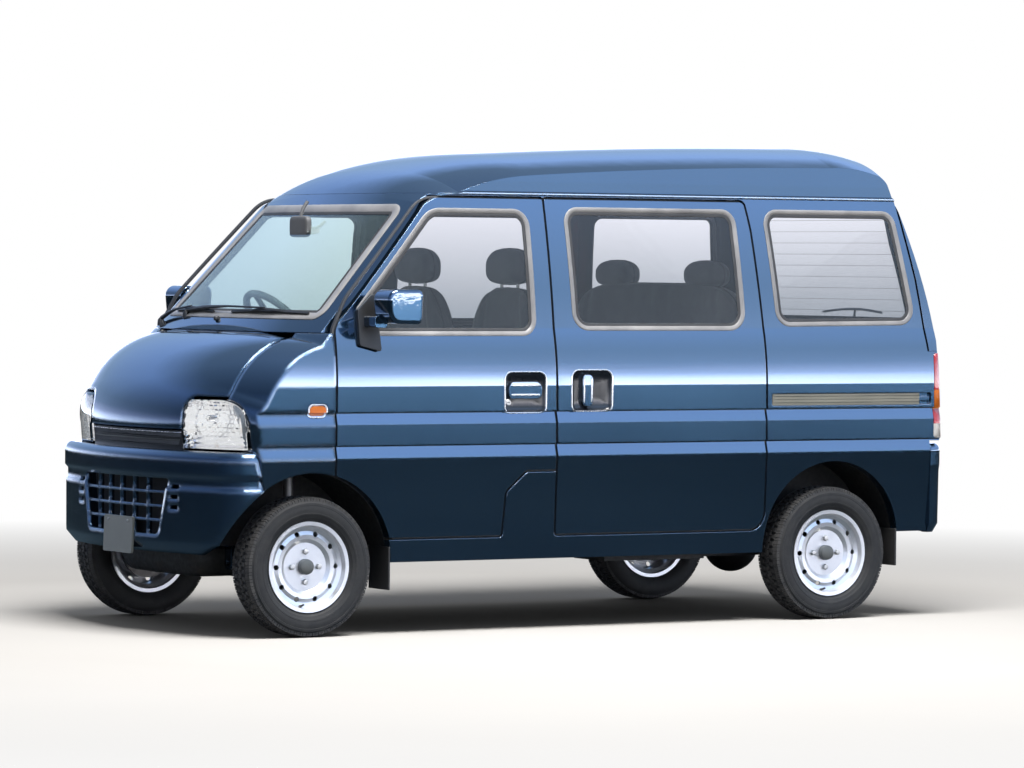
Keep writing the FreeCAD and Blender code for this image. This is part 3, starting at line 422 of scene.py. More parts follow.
def on_side(side, smooth=False):
    """Maps (x, z) to a point of the van's side and its outward direction."""
    def spot(x, z):
        reach = 0.02 if smooth else 0.002
        lean = (skin_y(z + reach) - skin_y(z - reach)) / (2 * reach)
        return Vector((x, side * skin_y(z), z)), Vector((0, side, -lean)).normalized()
    return spot


def surface_of(obj):
    work = bmesh.new()
    work.from_mesh(obj.data)
    tree = BVHTree.FromBMesh(work)
    work.free()
    return tree


def on_face(tree, way, lift=0.0, start=3.0):
    """Maps (y, z) to the first point met on a surface when looking along way in x."""
    def spot(y, z):
        hit, normal, index, far = tree.ray_cast(Vector((-way * start, y, z)), Vector((way, 0, 0)))
        if hit is None:
            hit, normal, index, far = tree.find_nearest(Vector((-way * 1.3, y, z)))
        if normal.x * way > 0:
            normal = -normal
        return hit + normal * lift, normal
    return spot


def calm(directions, rounds=3, closed=True):
    """Directions along a path, each averaged with its neighbours."""
    for turn in range(rounds):
        n = len(directions)
        mixed = []
        for i in range(n):
            before = directions[i - 1] if closed or i else directions[i]
            after = directions[(i + 1) % n] if closed or i < n - 1 else directions[i]
            mixed.append((before + directions[i] * 2 + after).normalized())
        directions = mixed
    return directions


def strip(points, normals, section, closed=True, inward=None):
    """Sweeps a closed (across, out) section along a path that lies on a surface."""
    n, m = len(points), len(section)
    middle = sum(points, Vector()) / n
    verts, faces = [], []
    flip = None
    for i in range(n):
        if closed:
            along = points[(i + 1) % n] - points[i - 1]
        else:
            along = points[min(i + 1, n - 1)] - points[max(i - 1, 0)]
        across = normals[i].cross(along).normalized()
        if flip is None:
            flip = 1 if across.dot((inward or middle) - points[i]) > 0 else -1
        across = across * flip
        verts += [points[i] + across * a + normals[i] * b for a, b in section]
    for i in range(n if closed else n - 1):
        j = (i + 1) % n
        for k in range(m):
            l = (k + 1) % m
            faces.append((i * m + k, i * m + l, j * m + l, j * m + k))
    if not closed:
        faces.append(tuple(range(m)))
        faces.append(tuple((n - 1) * m + k for k in range(m)))
    return verts, faces


def joined(parts):
    """Several (verts, faces) as one, with a slot number for each face."""
    verts, faces, slots = [], [], []
    for number, (v, f) in parts:
        base = len(verts)
        verts += v
        faces += [tuple(base + i for i in face) for face in f]
        slots += [number] * len(f)
    return verts, faces, slots


def tube(points, radius, sides=10, closed=False, taper=None):
    """Round bar along a line of points; taper gives a radius for each point."""
    n = len(points)
    verts, faces = [], []
    last = None
    for i, spot in enumerate(points):
        ahead = points[(i + 1) % n] if closed or i < n - 1 else points[i]
        behind = points[i - 1] if closed or i else points[i]
        along = (ahead - behind).normalized()
        if last is None:
            last = along.orthogonal().normalized()
        last = (last - along * last.dot(along)).normalized()
        other = along.cross(last)
        r = taper[i] if taper else radius
        verts += [spot + (last * math.cos(a) + other * math.sin(a)) * r
                  for a in (2 * math.pi * k / sides for k in range(sides))]
    for i in range(n if closed else n - 1):
        j = (i + 1) % n
        for k in range(sides):
            l = (k + 1) % sides
            faces.append((i * sides + k, i * sides + l, j * sides + l, j * sides + k))
    if not closed:
        faces.append(tuple(range(sides))[::-1])
        faces.append(tuple((n - 1) * sides + k for k in range(sides)))
    return verts, faces


def turned(rows, centre, side, count=96, closed=True):
    """Turns (across, radius) rows about an axle along y; across points outwards."""
    verts, faces = [], []
    m = len(rows)
    for i in range(count):
        a = 2 * math.pi * i / count
        for across, radius in rows:
            verts.append(Vector((centre[0] + radius * math.cos(a), centre[1] + side * across,
                                 centre[2] + radius * math.sin(a))))
    for i in range(count):
        j = (i + 1) % count
        for k in range(m if closed else m - 1):
            l = (k + 1) % m
            faces.append((i * m + k, i * m + l, j * m + l, j * m + k))
    if not closed:
        faces.append(tuple(i * m for i in range(count)))
        faces.append(tuple(i * m + m - 1 for i in range(count)))
    return verts, faces


def boxy(low, high, power=6.0, cuts=10, shape=None):
    """Closed rounded block: a gridded box drawn in to a superellipsoid, then reshaped."""
    work = bmesh.new()
    bmesh.ops.create_cube(work, size=2)
    bmesh.ops.subdivide_edges(work, edges=work.edges, cuts=cuts, use_grid_fill=True)
    low, high = Vector(low), Vector(high)
    middle, half = (low + high) / 2, (high - low) / 2
    for vert in work.verts:
        u = vert.co.copy()
        r = sum(abs(c) ** power for c in u) ** (1 / power)
        u = u / r
        if shape:
            u = shape(u)
        vert.co = Vector((middle.x + half.x * u.x, middle.y + half.y * u.y, middle.z + half.z * u.z))
    verts = [v.co.copy() for v in work.verts]
    faces = [tuple(v.index for v in f.verts) for f in work.faces]
    work.free()
    return verts, faces


# repeats by geometry nodes
def repeat_tree():
    """Copies of a piece, each stepped and turned from the last."""
    tree = bpy.data.node_groups.new("stepped copies", "GeometryNodeTree")
    face = tree.interface
    face.new_socket("Geometry", in_out="INPUT", socket_type="NodeSocketGeometry")
    sockets = {}
    for label, kind in (("Copies", "NodeSocketInt"), ("Step", "NodeSocketVector"), ("Turn", "NodeSocketVector"),
                        ("Finish", "NodeSocketMaterial")):
        sockets[label] = face.new_socket(label, in_out="INPUT", socket_type=kind).identifier
    face.new_socket("Geometry", in_out="OUTPUT", socket_type="NodeSocketGeometry")
    made = {}
    for key, kind in (("in", "NodeGroupInput"), ("points", "GeometryNodePoints"), ("index", "GeometryNodeInputIndex"),
                      ("place", "ShaderNodeVectorMath"), ("turn", "ShaderNodeVectorMath"),
                      ("copies", "GeometryNodeInstanceOnPoints"), ("real", "GeometryNodeRealizeInstances"),
                      ("wear", "GeometryNodeSetMaterial"), ("out", "NodeGroupOutput")):
        made[key] = tree.nodes.new(kind)
    made["place"].operation = "MULTIPLY"
    made["turn"].operation = "MULTIPLY"
    link = tree.links.new
    link(made["in"].outputs["Copies"], made["points"].inputs["Count"])
    link(made["in"].outputs["Step"], made["place"].inputs[0])
    link(made["index"].outputs[0], made["place"].inputs[1])
    link(made["in"].outputs["Turn"], made["turn"].inputs[0])
    link(made["index"].outputs[0], made["turn"].inputs[1])
    link(made["place"].outputs[0], made["points"].inputs["Position"])
    link(made["points"].outputs[0], made["copies"].inputs["Points"])
    link(made["in"].outputs["Geometry"], made["copies"].inputs["Instance"])
    link(made["turn"].outputs[0], made["copies"].inputs["Rotation"])
    link(made["copies"].outputs[0], made["real"].inputs[0])
    link(made["real"].outputs[0], made["wear"].inputs["Geometry"])
    link(made["in"].outputs["Finish"], made["wear"].inputs["Material"])
    link(made["wear"].outputs[0], made["out"].inputs[0])
    return tree, sockets


REPEAT, REPEAT_SOCKETS = repeat_tree()


def repeated(name, shape, material, body, copies, turn, origin):
    """A piece's copies as one plain mesh; turn is from each copy to the next, about the origin."""
    verts, faces = shape[:2]
    seed = bpy.data.meshes.new(name + "_seed")
    seed.from_pydata([tuple(v) for v in verts], [], [tuple(f) for f in faces])
    holder = bpy.data.objects.new(name + "_seed", seed)
    scene.collection.objects.link(holder)
    live = holder.modifiers.new("copies", "NODES")
    live.node_group = REPEAT
    for label, value in (("Copies", copies), ("Step", (0, 0, 0)), ("Turn", turn), ("Finish", material)):
        live[REPEAT_SOCKETS[label]] = value
    graph = bpy.context.evaluated_depsgraph_get()
    mesh = bpy.data.meshes.new_from_object(holder.evaluated_get(graph))
    bpy.data.objects.remove(holder)
    mesh.transform(Matrix.Translation(Vector(origin)))
    mesh.name = name
    return settled(name, mesh, body)


# windows
FRONT_WINDOW = [(0.283, 1.123, 0.06), (1.062, 1.123, 0.018), (1.062, 1.222, 0.02), (0.718, 1.6, 0.11),
                (0.283, 1.6, 0.065)]
SLIDING_WINDOW = [(-0.678, 1.143, 0.07), (0.112, 1.143, 0.07), (0.122, 1.61, 0.06), (-0.664, 1.61, 0.06)]
QUARTER_WINDOW = [(-1.494, 1.165, 0.065), (-0.83, 1.158, 0.065), (-0.798, 1.612, 0.06), (-1.424, 1.612, 0.06)]
SCREEN = [(-0.612, 1.178, 0.035), (0.612, 1.178, 0.035), (0.548, 1.612, 0.055), (-0.548, 1.612, 0.055)]
REAR_WINDOW = [(-0.56, 1.16, 0.06), (0.56, 1.16, 0.06), (0.52, 1.69, 0.06), (-0.52, 1.69, 0.06)]
RUBBER_BAND = [(-0.003, -0.006), (-0.003, 0.0012), (0.0, 0.003), (0.004, 0.0026), (0.014, 0.0002), (0.017, -0.003),
               (0.017, -0.0085), (0.0, -0.012)]
RUBBER_LIP = [(0.016, -0.0085), (0.016, -0.0015), (0.020, -0.001), (0.028, -0.0034), (0.028, -0.0085)]


def window_seal(name, outline, mapper, body, materials, band=RUBBER_BAND, lip=RUBBER_LIP):
    spots = [mapper(p.x, p.y) for p in stepped(rounded(outline, 8))]
    points = [spot[0] for spot in spots]
    normals = calm([spot[1] for spot in spots])
    return finished(name, joined([(0, strip(points, normals, band)), (1, strip(points, normals, lip))]), materials,
                    body, sharp=50)


def windows():
    # the outer band of each window rubber has painted sheen: its grey tone stands in for light glancing off black
    # rubber
    rubbers = [sheen_painted_rubber, seal_black]
    for side, s in SIDES:
        mapper = on_side(s, True)
        window_seal("front_window_seal_" + side, FRONT_WINDOW, mapper, "front_door_" + side, rubbers)
        window_seal("sliding_window_seal_" + side, SLIDING_WINDOW, mapper, "van", rubbers)
        window_seal("quarter_window_seal_" + side, QUARTER_WINDOW, mapper, "van", rubbers)
    screen = on_face(surface_of(nodes["windscreen"]), -1, 0.004)
    inner = [(y * 0.996, z + (0.002 if z < 1.4 else -0.002), r) for y, z, r in SCREEN]
    band = [(-0.004, -0.006), (-0.004, 0.0015), (0.002, 0.004), (0.010, 0.0034), (0.030, 0.0), (0.034, -0.003),
            (0.034, -0.0085)]
    lip = [(0.033, -0.0085), (0.033, -0.0015), (0.038, -0.001), (0.046, -0.0034), (0.046, -0.0085)]
    window_seal("windscreen_seal", inner, screen, "van", rubbers, band, lip)
    rear = on_face(surface_of(nodes["tailgate_glass"]), 1, 0.004)
    inner = [(y * 0.996, z + (0.002 if z < 1.4 else -0.002), r) for y, z, r in REAR_WINDOW]
    window_seal("tailgate_window_seal", inner, rear, "tailgate", rubbers)


# door gaps
FRONT_DOOR = [(0.43, 0.36, 0.012), (1.162, 0.36, 0.02), (1.162, 1.141, 0.06), (1.098, 1.264, 0.2),
              (0.745, 1.646, 0.13),
              (0.208, 1.646, 0.012), (0.197, 0.607, 0.012), (0.331, 0.607, 0.03), (0.419, 0.529, 0.04)]
SLIDING_DOOR = [(-0.771, 0.36, 0.07), (0.193, 0.36, 0.012), (0.208, 1.646, 0.012), (-0.717, 1.646, 0.025),
                (-0.735, 1.534, 0.3), (-0.763, 1.143, 0.6)]


def door_seals():
    flat = [(-0.0043, -0.030), (-0.0043, -0.013), (0.0, -0.0115), (0.0043, -0.013), (0.0043, -0.030)]
    for side, s in SIDES:
        mapper = on_side(s)
        for label, outline in (("front_door_seal_", FRONT_DOOR), ("sliding_door_seal_", SLIDING_DOOR)):
            spots = [mapper(p.x, p.y) for p in stepped(rounded(outline, 8), 0.02)]
            keep = []
            for point, normal in spots:
                wheel = math.hypot(point.x - FRONT_AXLE, point.z - AXLE_HEIGHT)
                keep.append((point, normal, wheel > 0.353))
            first = next((i for i in range(len(keep)) if keep[i][2] and not keep[i - 1][2]), None)
            if first is None:
                run, closed = keep, True
            else:
                run = keep[first:] + keep[:first]
                run = [item for item in run if item[2]]
                closed = False
            middle = Vector((sum(k[0].x for k in keep) / len(keep), s * 0.7, 1.0))
            finished(label + side,
                     strip([k[0] for k in run], calm([k[1] for k in run], 4, closed), flat, closed, middle),
                     [seal_black], "van", sharp=50)


# wheels
TYRE_SECTION = [
    (-0.0531, 0.1599), (-0.055, 0.1701), (-0.0625, 0.1790), (-0.0700, 0.1950), (-0.0725, 0.2115), (-0.0715, 0.2250),
    (-0.0675, 0.2420), (-0.0600, 0.2530), (-0.0520, 0.2562), (0.0520, 0.2562), (0.0600, 0.2530), (0.0675, 0.2420),
    (0.0690, 0.2390), (0.0712, 0.2385), (0.0720, 0.2300), (0.0712, 0.2292), (0.0725, 0.2200), (0.0724, 0.2115),
    (0.0712, 0.2020), (0.0718, 0.2010), (0.0702, 0.1950), (0.0690, 0.1942), (0.0640, 0.1830), (0.0628, 0.1822),
    (0.0590, 0.1765), (0.0550, 0.1701), (0.0531, 0.1599)]


def tread_block(y0, y1, a0, a1, skew, low=0.2540, high=0.2618):
    """One block: across y0 to y1, between angles a0 and a1 in degrees, on the crown."""
    verts = []
    for r in (low, high):
        inset = 0.0 if r == low else 0.0008
        for y, a in ((y0 + inset, a0), (y1 - inset, a0), (y1 - inset, a1), (y0 + inset, a1)):
            drop = max(0.0, abs(y) - 0.045) * (0.28 if r == high else 0.5)
            angle = math.radians(a + skew * y)
            verts.append(Vector(((r - drop) * math.cos(angle), y, (r - drop) * math.sin(angle))))
    faces = [(0, 3, 2, 1), (4, 5, 6, 7), (0, 1, 5, 4), (1, 2, 6, 5), (2, 3, 7, 6), (3, 0, 4, 7)]
    return verts, faces


# each tread block of one pitch: across y0 to y1, degrees a0 to a1, skew in degrees a metre
TREAD_COPIES = 60
TREAD_TURN = (0, 2 * math.pi / TREAD_COPIES, 0)
PITCH = 360 / TREAD_COPIES
TREAD = []
for low, high, shift in ((-0.066, -0.043, 0.0), (-0.038, -0.016, 2.4), (-0.011, 0.011, 0.8),
                         (0.016, 0.038, 3.4), (0.043, 0.066, 1.2)):
    if abs(low + high) > 0.1:
        spans = ((0.0, 0.52, 30), (0.60, 0.90, 30))
    else:
        spans = ((0.0, 0.42, -60), (0.5, 0.92, 60))
    TREAD += [(low, high, shift + PITCH * start, shift + PITCH * end, skew) for start, end, skew in spans]


def wheels():
    for end, x in (("front", FRONT_AXLE), ("rear", REAR_AXLE)):
        for side, s in SIDES:
            suffix = end + "_" + side
            body = "wheel_" + suffix
            centre = (x, s * TYRE_CENTRE, AXLE_HEIGHT)
            tyre = finished("tyre_walls_" + suffix, turned(TYRE_SECTION, centre, s, 120), [tyre_black], body,
                            sharp=28)
            blocks = [(0, tread_block(*row)) for row in TREAD]
            repeated("tread_" + suffix, joined(blocks), tread_black, body, TREAD_COPIES, TREAD_TURN, centre)
            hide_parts("tyre_" + suffix)
            dress_rim(suffix, body, centre, s)


def dress_rim(suffix, body, centre, s):
    """Hub cap, wheel nuts and tyre valve."""
    hub = 0.026
    nut = []
    for across, r in ((0.0, 0.0115), (0.010, 0.0115), (0.0125, 0.0095), (0.013, 0.004)):
        nut.append([Vector((0.057 + r * math.cos(a), s * (hub + across), r * math.sin(a)))
                    for a in (math.pi / 3 * k for k in range(6))])
    repeated("wheel_nuts_" + suffix, ringed(nut), nut_steel, body, 4, (0, math.pi / 2, 0), centre)
    cap = [(0.020, 0.0295), (0.040, 0.0295), (0.0485, 0.0275), (0.0505, 0.0235), (0.0515, 0.012), (0.0517, 0.0005)]
    finished("hub_cap_" + suffix, turned([(0.020, 0.0005)] + cap, centre, s, 48), [cap_grey], body)
    start = Vector((centre[0], centre[1], centre[2]))
    way = Vector((math.cos(4.9), 0, math.sin(4.9)))
    points = [start + way * 0.149 + Vector((0, s * 0.040, 0)), start + way * 0.146 + Vector((0, s * 0.052, 0)),
              start + way * 0.142 + Vector((0, s * 0.064, 0)), start + way * 0.141 + Vector((0, s * 0.068, 0))]
    finished("tyre_valve_" + suffix, tube(points, 0.004, 10, taper=[0.0055, 0.0045, 0.004, 0.0035]),
             [seal_black], body)


# lamps
def headlamps():
    """Clear cover cut from the lamp's own outer faces, over a stepped bright bowl."""
    lamp = nodes["headlamps"]
    tree = surface_of(lamp)
    first = None
    for side, s in SIDES:
        work = bmesh.new()
        work.from_mesh(lamp.data)
        bmesh.ops.remove_doubles(work, verts=work.verts, dist=0.00002)
        bmesh.ops.recalc_face_normals(work, faces=work.faces)
        doomed = []
        for face in work.faces:
            c, n = face.calc_center_median(), face.normal
            outer = (n.x > 0.25 or n.y * s > 0.5) and abs(n.z) < 0.45 and c.x > 1.4805
            if c.y * s < 0 or not outer or (n.x < 0.3 and abs(c.y) < 0.6):
                doomed.append(face)
        bmesh.ops.delete(work, geom=doomed, context="FACES")
        for place, way in (((0, s * 0.3775, 0), (0, -s, 0)), ((0, s * 0.7005, 0), (0, s, 0)),
                           ((0, 0, 0.8835), (0, 0, 1)), ((0, 0, 0.6965), (0, 0, -1))):
            bmesh.ops.bisect_plane(work, geom=work.verts[:] + work.edges[:] + work.faces[:], plane_co=place,
                                   plane_no=way, clear_outer=True)
        mesh = bpy.data.meshes.new("headlamp_cover_" + side)
        work.to_mesh(mesh)
        work.free()
        mesh.materials.append(lamp_clear)
        cover = settled("headlamp_cover_" + side, mesh, "van", 60, False)
        wall = cover.modifiers.new("wall", "SOLIDIFY")
        wall.thickness = 0.003
        wall.offset = -1
        if first is None:
            first = cover
        bowl(side, s, tree)
    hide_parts("headlamps")


def bowl(side, s, tree):
    """Stepped reflector: round main mirror, a low strip and an upright outer cell."""
    across, high = 56, 34
    y0, y1, z0, z1 = 0.379, 0.697, 0.698, 0.882
    verts, faces = [], []
    for i in range(across + 1):
        y = y0 + (y1 - y0) * i / across
        for j in range(high + 1):
            z = z0 + (z1 - z0) * j / high
            hit, py, pz = None, y, z
            while hit is None:
                hit = tree.ray_cast(Vector((3, s * py, pz)), Vector((-1, 0, 0)))[0]
                if hit is None or hit.x < 1.44:
                    hit = None
                    py += (0.53 - py) * 0.04
                    pz += (0.79 - pz) * 0.04
            x = hit.x
            edge = min(y - y0, y1 - y, z - z0, z1 - z)
            deep = 0.010 + 0.03 * min(1.0, edge / 0.012)
            if z < 0.742:
                deep = 0.018 + 0.004 * (j % 3) + (0.008 if edge > 0.006 else 0)
            elif y > 0.628:
                deep = 0.02 + 0.006 * (i % 4) / 3 + (0.01 if edge > 0.006 else 0)
            else:
                r = math.hypot((y - 0.503) / 1.25, z - 0.812)
                deep += 0.035 * max(0.0, 1 - (r / 0.075) ** 2)
                deep += 0.0035 * ((i // 3 + j // 3) % 2) * (1 if r > 0.02 else 0)
            verts.append(Vector((x - deep, s * py, pz)))
    front = len(verts)
    verts += [v - Vector((0.004, 0, 0)) for v in verts]
    row = high + 1
    for i in range(across):
        for j in range(high):
            a, b = i * row + j, (i + 1) * row + j
            faces.append((a, b, b + 1, a + 1))
            faces.append((front + a, front + a + 1, front + b + 1, front + b))
    rim = [i * row for i in range(across + 1)] + [across * row + j for j in range(1, row)]
    rim += [i * row + high for i in range(across - 1, -1, -1)] + [j for j in range(high - 1, 0, -1)]
    for k, a in enumerate(rim):
        b = rim[(k + 1) % len(rim)]
        faces.append((a, b, front + b, front + a))
    finished("headlamp_mirror_" + side, (verts, faces), [mirror_chrome], "van", sharp=14)
    spot = Vector((1.545, s * 0.503, 0.812))
    finished("headlamp_bulb_cap_" + side,
             tube([spot, spot + Vector((0.02, 0, 0)), spot + Vector((0.034, 0, 0)), spot + Vector((0.038, 0, 0))],
                        0.009, 20, taper=[0.013, 0.0125, 0.011, 0.003]), [mirror_chrome], "van")


def tail_lamps():
    """Red, amber and clear cells on the lamp body."""
    lamp = nodes["tail_lamps"]
    first = None
    for side, s in SIDES:
        work = bmesh.new()
        work.from_mesh(lamp.data)
        bmesh.ops.remove_doubles(work, verts=work.verts, dist=0.00002)
        bmesh.ops.delete(work, geom=[v for v in work.verts if v.co.y * s < 0], context="VERTS")
        for z in (0.770, 0.828, 0.905):
            bmesh.ops.bisect_plane(work, geom=work.verts[:] + work.edges[:] + work.faces[:], plane_co=(0, 0, z),
                                   plane_no=(0, 0, 1))
        mesh = bpy.data.meshes.new("tail_lamp_cells_" + side)
        work.to_mesh(mesh)
        work.free()
        for material in (lamp_red, lamp_amber, lamp_white):
            mesh.materials.append(material)
        for face in mesh.polygons:
            z = face.center.z
            face.material_index = 2 if z < 0.770 else (0 if z < 0.828 else (1 if z < 0.905 else 0))
        obj = settled("tail_lamp_cells_" + side, mesh, "van", 40, False)
        first = first or obj
    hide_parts("tail_lamps")


# front
def grille_back_shade():
    """Near-black sheet behind the bumper opening and the slot above it, painted shade for the cavity, with a blank
    plate in front.
    """
    front, deep, low, high = 1.6975, 0.052, 0.362, 0.60
    bow, count = 2.2, 24
    rings = []
    for i in range(count + 1):
        y = -0.40 + 0.8 * i / count
        x = front - bow + math.sqrt(bow ** 2 - y * y) - deep
        rings.append([Vector((x, y, low)), Vector((x, y, high)), Vector((x - 0.004, y, high)),
                      Vector((x - 0.004, y, low))])
    finished("grille_back_shade", ringed(rings), [cavity_shade_black], "van")
    corner = 0.008
    outline = rounded([(-0.118, 0.292, corner), (0.118, 0.292, corner), (0.118, 0.430, corner),
                       (-0.118, 0.430, corner)], 5)
    rings = []
    for x, shrink in ((1.6885, 1.0), (1.6965, 1.0), (1.6975, 0.992)):
        ring = [(p.x * shrink, 0.361 + (p.y - 0.361) * shrink) for p in outline]
        rings.append([Vector((x - (z - 0.36) * 0.04 - 0.002, y, z)) for y, z in ring])
    finished("number_plate_blank", ringed(rings), [plate_grey], "van", sharp=40)
    screws = []
    for y in (-0.08, 0.08):
        screws.append((0, tube([Vector((1.688, y, 0.415)), Vector((1.6955, y, 0.415)), Vector((1.6968, y, 0.415))],
                               0.005, 12, taper=[0.005, 0.005, 0.003])))
    finished("plate_screws", joined(screws), [nut_steel], "van")


def slot_lines():
    """Thin bright line with raised ends and a finer one under it, on the slot above the bumper."""
    on_slot = on_face(surface_of(nodes["upper_grille"]), -1, 0.0005)
    lines = []
    bright = ([(-0.372, 0.777), (-0.362, 0.757)] + [(-0.35 + 0.7 * k / 24, 0.7545) for k in range(25)]
              + [(0.362, 0.757), (0.372, 0.777)])
    fine = [(-0.35 + 0.7 * k / 24, 0.7265) for k in range(25)]
    for slot, path, half in ((0, bright, 0.0018), (1, fine, 0.0011)):
        spots = [on_slot(y, z) for y, z in path]
        section = [(-half, -0.002), (-half, 0.0012), (half, 0.0012), (half, -0.002)]
        lines.append((slot, strip([p for p, n in spots], [Vector((1, 0, 0))] * len(spots), section, False,
                                  spots[0][0] + Vector((0, 0, 1)))))
    finished("slot_lines", joined(lines), [bright_trim_and_highlight, cap_grey], "van")


def front_undertray():
    """Black tray under the radiator, between the front wheels."""
    def form(u):
        return Vector((u.x * (1 - 0.10 * step_up(-u.z, 0.0, 1.0)), u.y * (1 - 0.08 * step_up(-u.z, -0.2, 1.0)), u.z))
    finished("front_undertray", boxy((1.20, -0.335, 0.205), (1.53, 0.335, 0.328), 9, 8, form), [under_black], "van")


def cowl_and_wipers():
    glass = on_face(surface_of(nodes["windscreen"]), -1, 0.0)
    apron = surface_of(nodes["front_body"])
    for name, pivot_y, tip_y, start_y in (("right", -0.60, -0.12, -0.49), ("left", -0.36, 0.54, 0.03)):
        foot = apron.ray_cast(Vector((1.243 - abs(pivot_y) * 0.06, pivot_y, 2.0)),
                              Vector((0, 0, -1)))[0] or Vector((1.235, pivot_y, 1.16))
        parts = [(0, tube([foot - Vector((0, 0, 0.004)), foot + Vector((0, 0, 0.018)),
                           foot + Vector((-0.002, 0, 0.026))], 0.013, 16,
                          taper=[0.015, 0.013, 0.008]))]
        blade_line = []
        for k in range(17):
            t = k / 16
            y = start_y + (tip_y - start_y) * t
            p, n = glass(y, 1.196 + 0.004 * math.sin(math.pi * t))
            blade_line.append((p, n))
        middle, normal = blade_line[8]
        rise = middle + normal * 0.030
        neck = foot + Vector((-0.004, 0, 0.026))
        elbow = neck.lerp(rise, 0.55) + Vector((0.006, 0, 0.010))
        parts.append((0, tube([neck, neck.lerp(elbow, 0.5) + Vector((0, 0, 0.004)), elbow, rise], 0.006, 10,
                              taper=[0.009, 0.008, 0.0045, 0.0035])))
        points = [p + n * 0.006 for p, n in blade_line]
        normals = [n for p, n in blade_line]
        parts.append((1, strip(points, normals, [(-0.0012, -0.006), (-0.003, 0.004), (0.003, 0.004),
                                                 (0.0012, -0.006)], False, points[0] + Vector((0, 0, 1)))))
        for scale, lift in ((1.0, 0.013), (0.52, 0.022)):
            bow = []
            for k in range(13):
                t = 0.5 + (k / 12 - 0.5) * scale
                p, n = glass(start_y + (tip_y - start_y) * t, 1.196 + 0.004 * math.sin(math.pi * t))
                bow.append((p + n * (0.0115 + (lift - 0.0105) * math.sin(math.pi * k / 12)), n))
            parts.append((0, strip([p for p, n in bow], [n for p, n in bow],
                                   [(-0.0045, -0.0015), (-0.0045, 0.0015), (0.0045, 0.0015), (0.0045, -0.0015)],
                                   False, bow[0][0] + Vector((0, 0, 1)))))
        finished("wiper_" + name, joined(parts), [wiper_black, seal_black], "van", sharp=45)
    for y in (-0.50, -0.05):
        foot = apron.ray_cast(Vector((1.252, y, 2.0)), Vector((0, 0, -1)))[0] or Vector((1.25, y, 1.15))
        finished("washer_nozzle_%s" % ("left" if y > 0 else "right"),
                 boxy(foot + Vector((-0.012, -0.009, -0.003)), foot + Vector((0.012, 0.009, 0.016)), 3.0, 4),
                 [wiper_black], "van")


def side_details():
    for side, s in SIDES:
        outline = rounded([(1.202, 0.816, 0.02), (1.284, 0.816, 0.02), (1.284, 0.868, 0.02), (1.202, 0.868, 0.02)], 5)
        spots = [on_side(s)(p.x, p.y) for p in outline]
        ring = [(0.0, -0.004), (0.0, 0.0018), (0.004, 0.0026), (0.0075, 0.001), (0.0075, -0.004)]
        finished("repeater_rim_" + side, strip([p[0] for p in spots], [Vector((0, s, 0))] * len(spots), ring),
                 [bright_trim_and_highlight], "van", sharp=50)
        centre = Vector((0.412, s * (skin_y(0.868) - 0.019), 0.868))
        out = Vector((0, s, 0))
        finished("door_lock_" + side,
                 tube([centre - out * 0.003, centre + out * 0.010, centre + out * 0.012], 0.0115, 24,
                      taper=[0.012, 0.012, 0.010]), [nut_steel], "front_door_" + side)
        # painted shade: a near-black block stands in for the dark key slot in the lock
        slot = centre + out * 0.0122
        finished("door_lock_slot_shade_" + side,
                 boxy(slot - Vector((0.0065, 0.0006, 0.0012)), slot + Vector((0.0065, 0.0006, 0.0012)), 8, 2),
                 [cavity_shade_black], "front_door_" + side)


def cabin():
    finished("room_mirror", boxy((0.900, -0.071, 1.487), (0.930, 0.071, 1.572), 5, 12), [trim_grey], "van")
    stem = [Vector((0.915, 0, 1.565)), Vector((0.905, 0, 1.60)), Vector((0.885, 0, 1.628))]
    finished("room_mirror_stem", tube(stem, 0.007, 10), [trim_grey], "van")


# seats
def bell(value, centre, width):
    return math.exp(-((value - centre) / width) ** 2)


def step_up(value, low, high):
    t = min(1.0, max(0.0, (value - low) / (high - low)))
    return t * t * (3 - 2 * t)


def cushion_form(u):
    """Seat cushion: side rolls, a dished middle with two cross seams, a rolled front edge."""
    if u.z <= 0:
        return u
    side = step_up(abs(u.y), 0.5, 0.8)
    z = u.z * (0.80 + 0.20 * side + 0.06 * step_up(u.x, 0.0, 0.8))
    z -= 0.10 * bell(abs(u.y), 0.62, 0.045)
    if abs(u.y) < 0.62:
        z -= 0.07 * (bell(u.x, 0.28, 0.05) + bell(u.x, -0.36, 0.05))
    return Vector((u.x, u.y * (1 - 0.04 * bell(u.x, 0.0, 0.5)), z))


def back_form(u):
    """Seat back: rounded shoulders, side rolls, a dished middle with cross seams."""
    narrow = 1 - 0.26 * step_up(u.z, 0.25, 1.1) - 0.04 * step_up(-u.z, 0.6, 1.0)
    x = u.x
    if x > 0:
        side = step_up(abs(u.y), 0.5, 0.8)
        x = x * (0.70 + 0.30 * side)
        x -= 0.12 * bell(abs(u.y), 0.62, 0.045)
        if abs(u.y) < 0.62:
            x -= 0.09 * (bell(u.z, 0.42, 0.03) + bell(u.z, -0.12, 0.03) + bell(u.z, -0.62, 0.03))
    return Vector((x, u.y * narrow, u.z))


def bench_form(u):
    """Bench cushion or back in two places, each dished, with a seam between them."""
    y = abs(u.y)
    dish = 0.14 * bell(y, 0.5, 0.28)
    seam = 0.12 * bell(y, 0.0, 0.02) + 0.08 * (bell(y, 0.2, 0.018) + bell(y, 0.8, 0.018))
    out = Vector(u)
    if u.z > 0:
        out.z = u.z * (1 - dish) - seam
    return out


def bench_back_form(u):
    y = abs(u.y)
    dish = 0.16 * bell(y, 0.5, 0.28)
    seam = 0.14 * bell(y, 0.0, 0.02) + 0.10 * (bell(y, 0.2, 0.018) + bell(y, 0.8, 0.018))
    out = Vector(u)
    if u.x > 0:
        out.x = u.x * (1 - dish) - seam
    out.y = u.y * (1 - 0.05 * step_up(u.z, 0.3, 1.0))
    return out


def rest_form(u):
    return Vector((u.x * (1 - 0.2 * step_up(u.z, 0.2, 1)), u.y * (1 - 0.12 * step_up(u.z, 0, 1)), u.z))


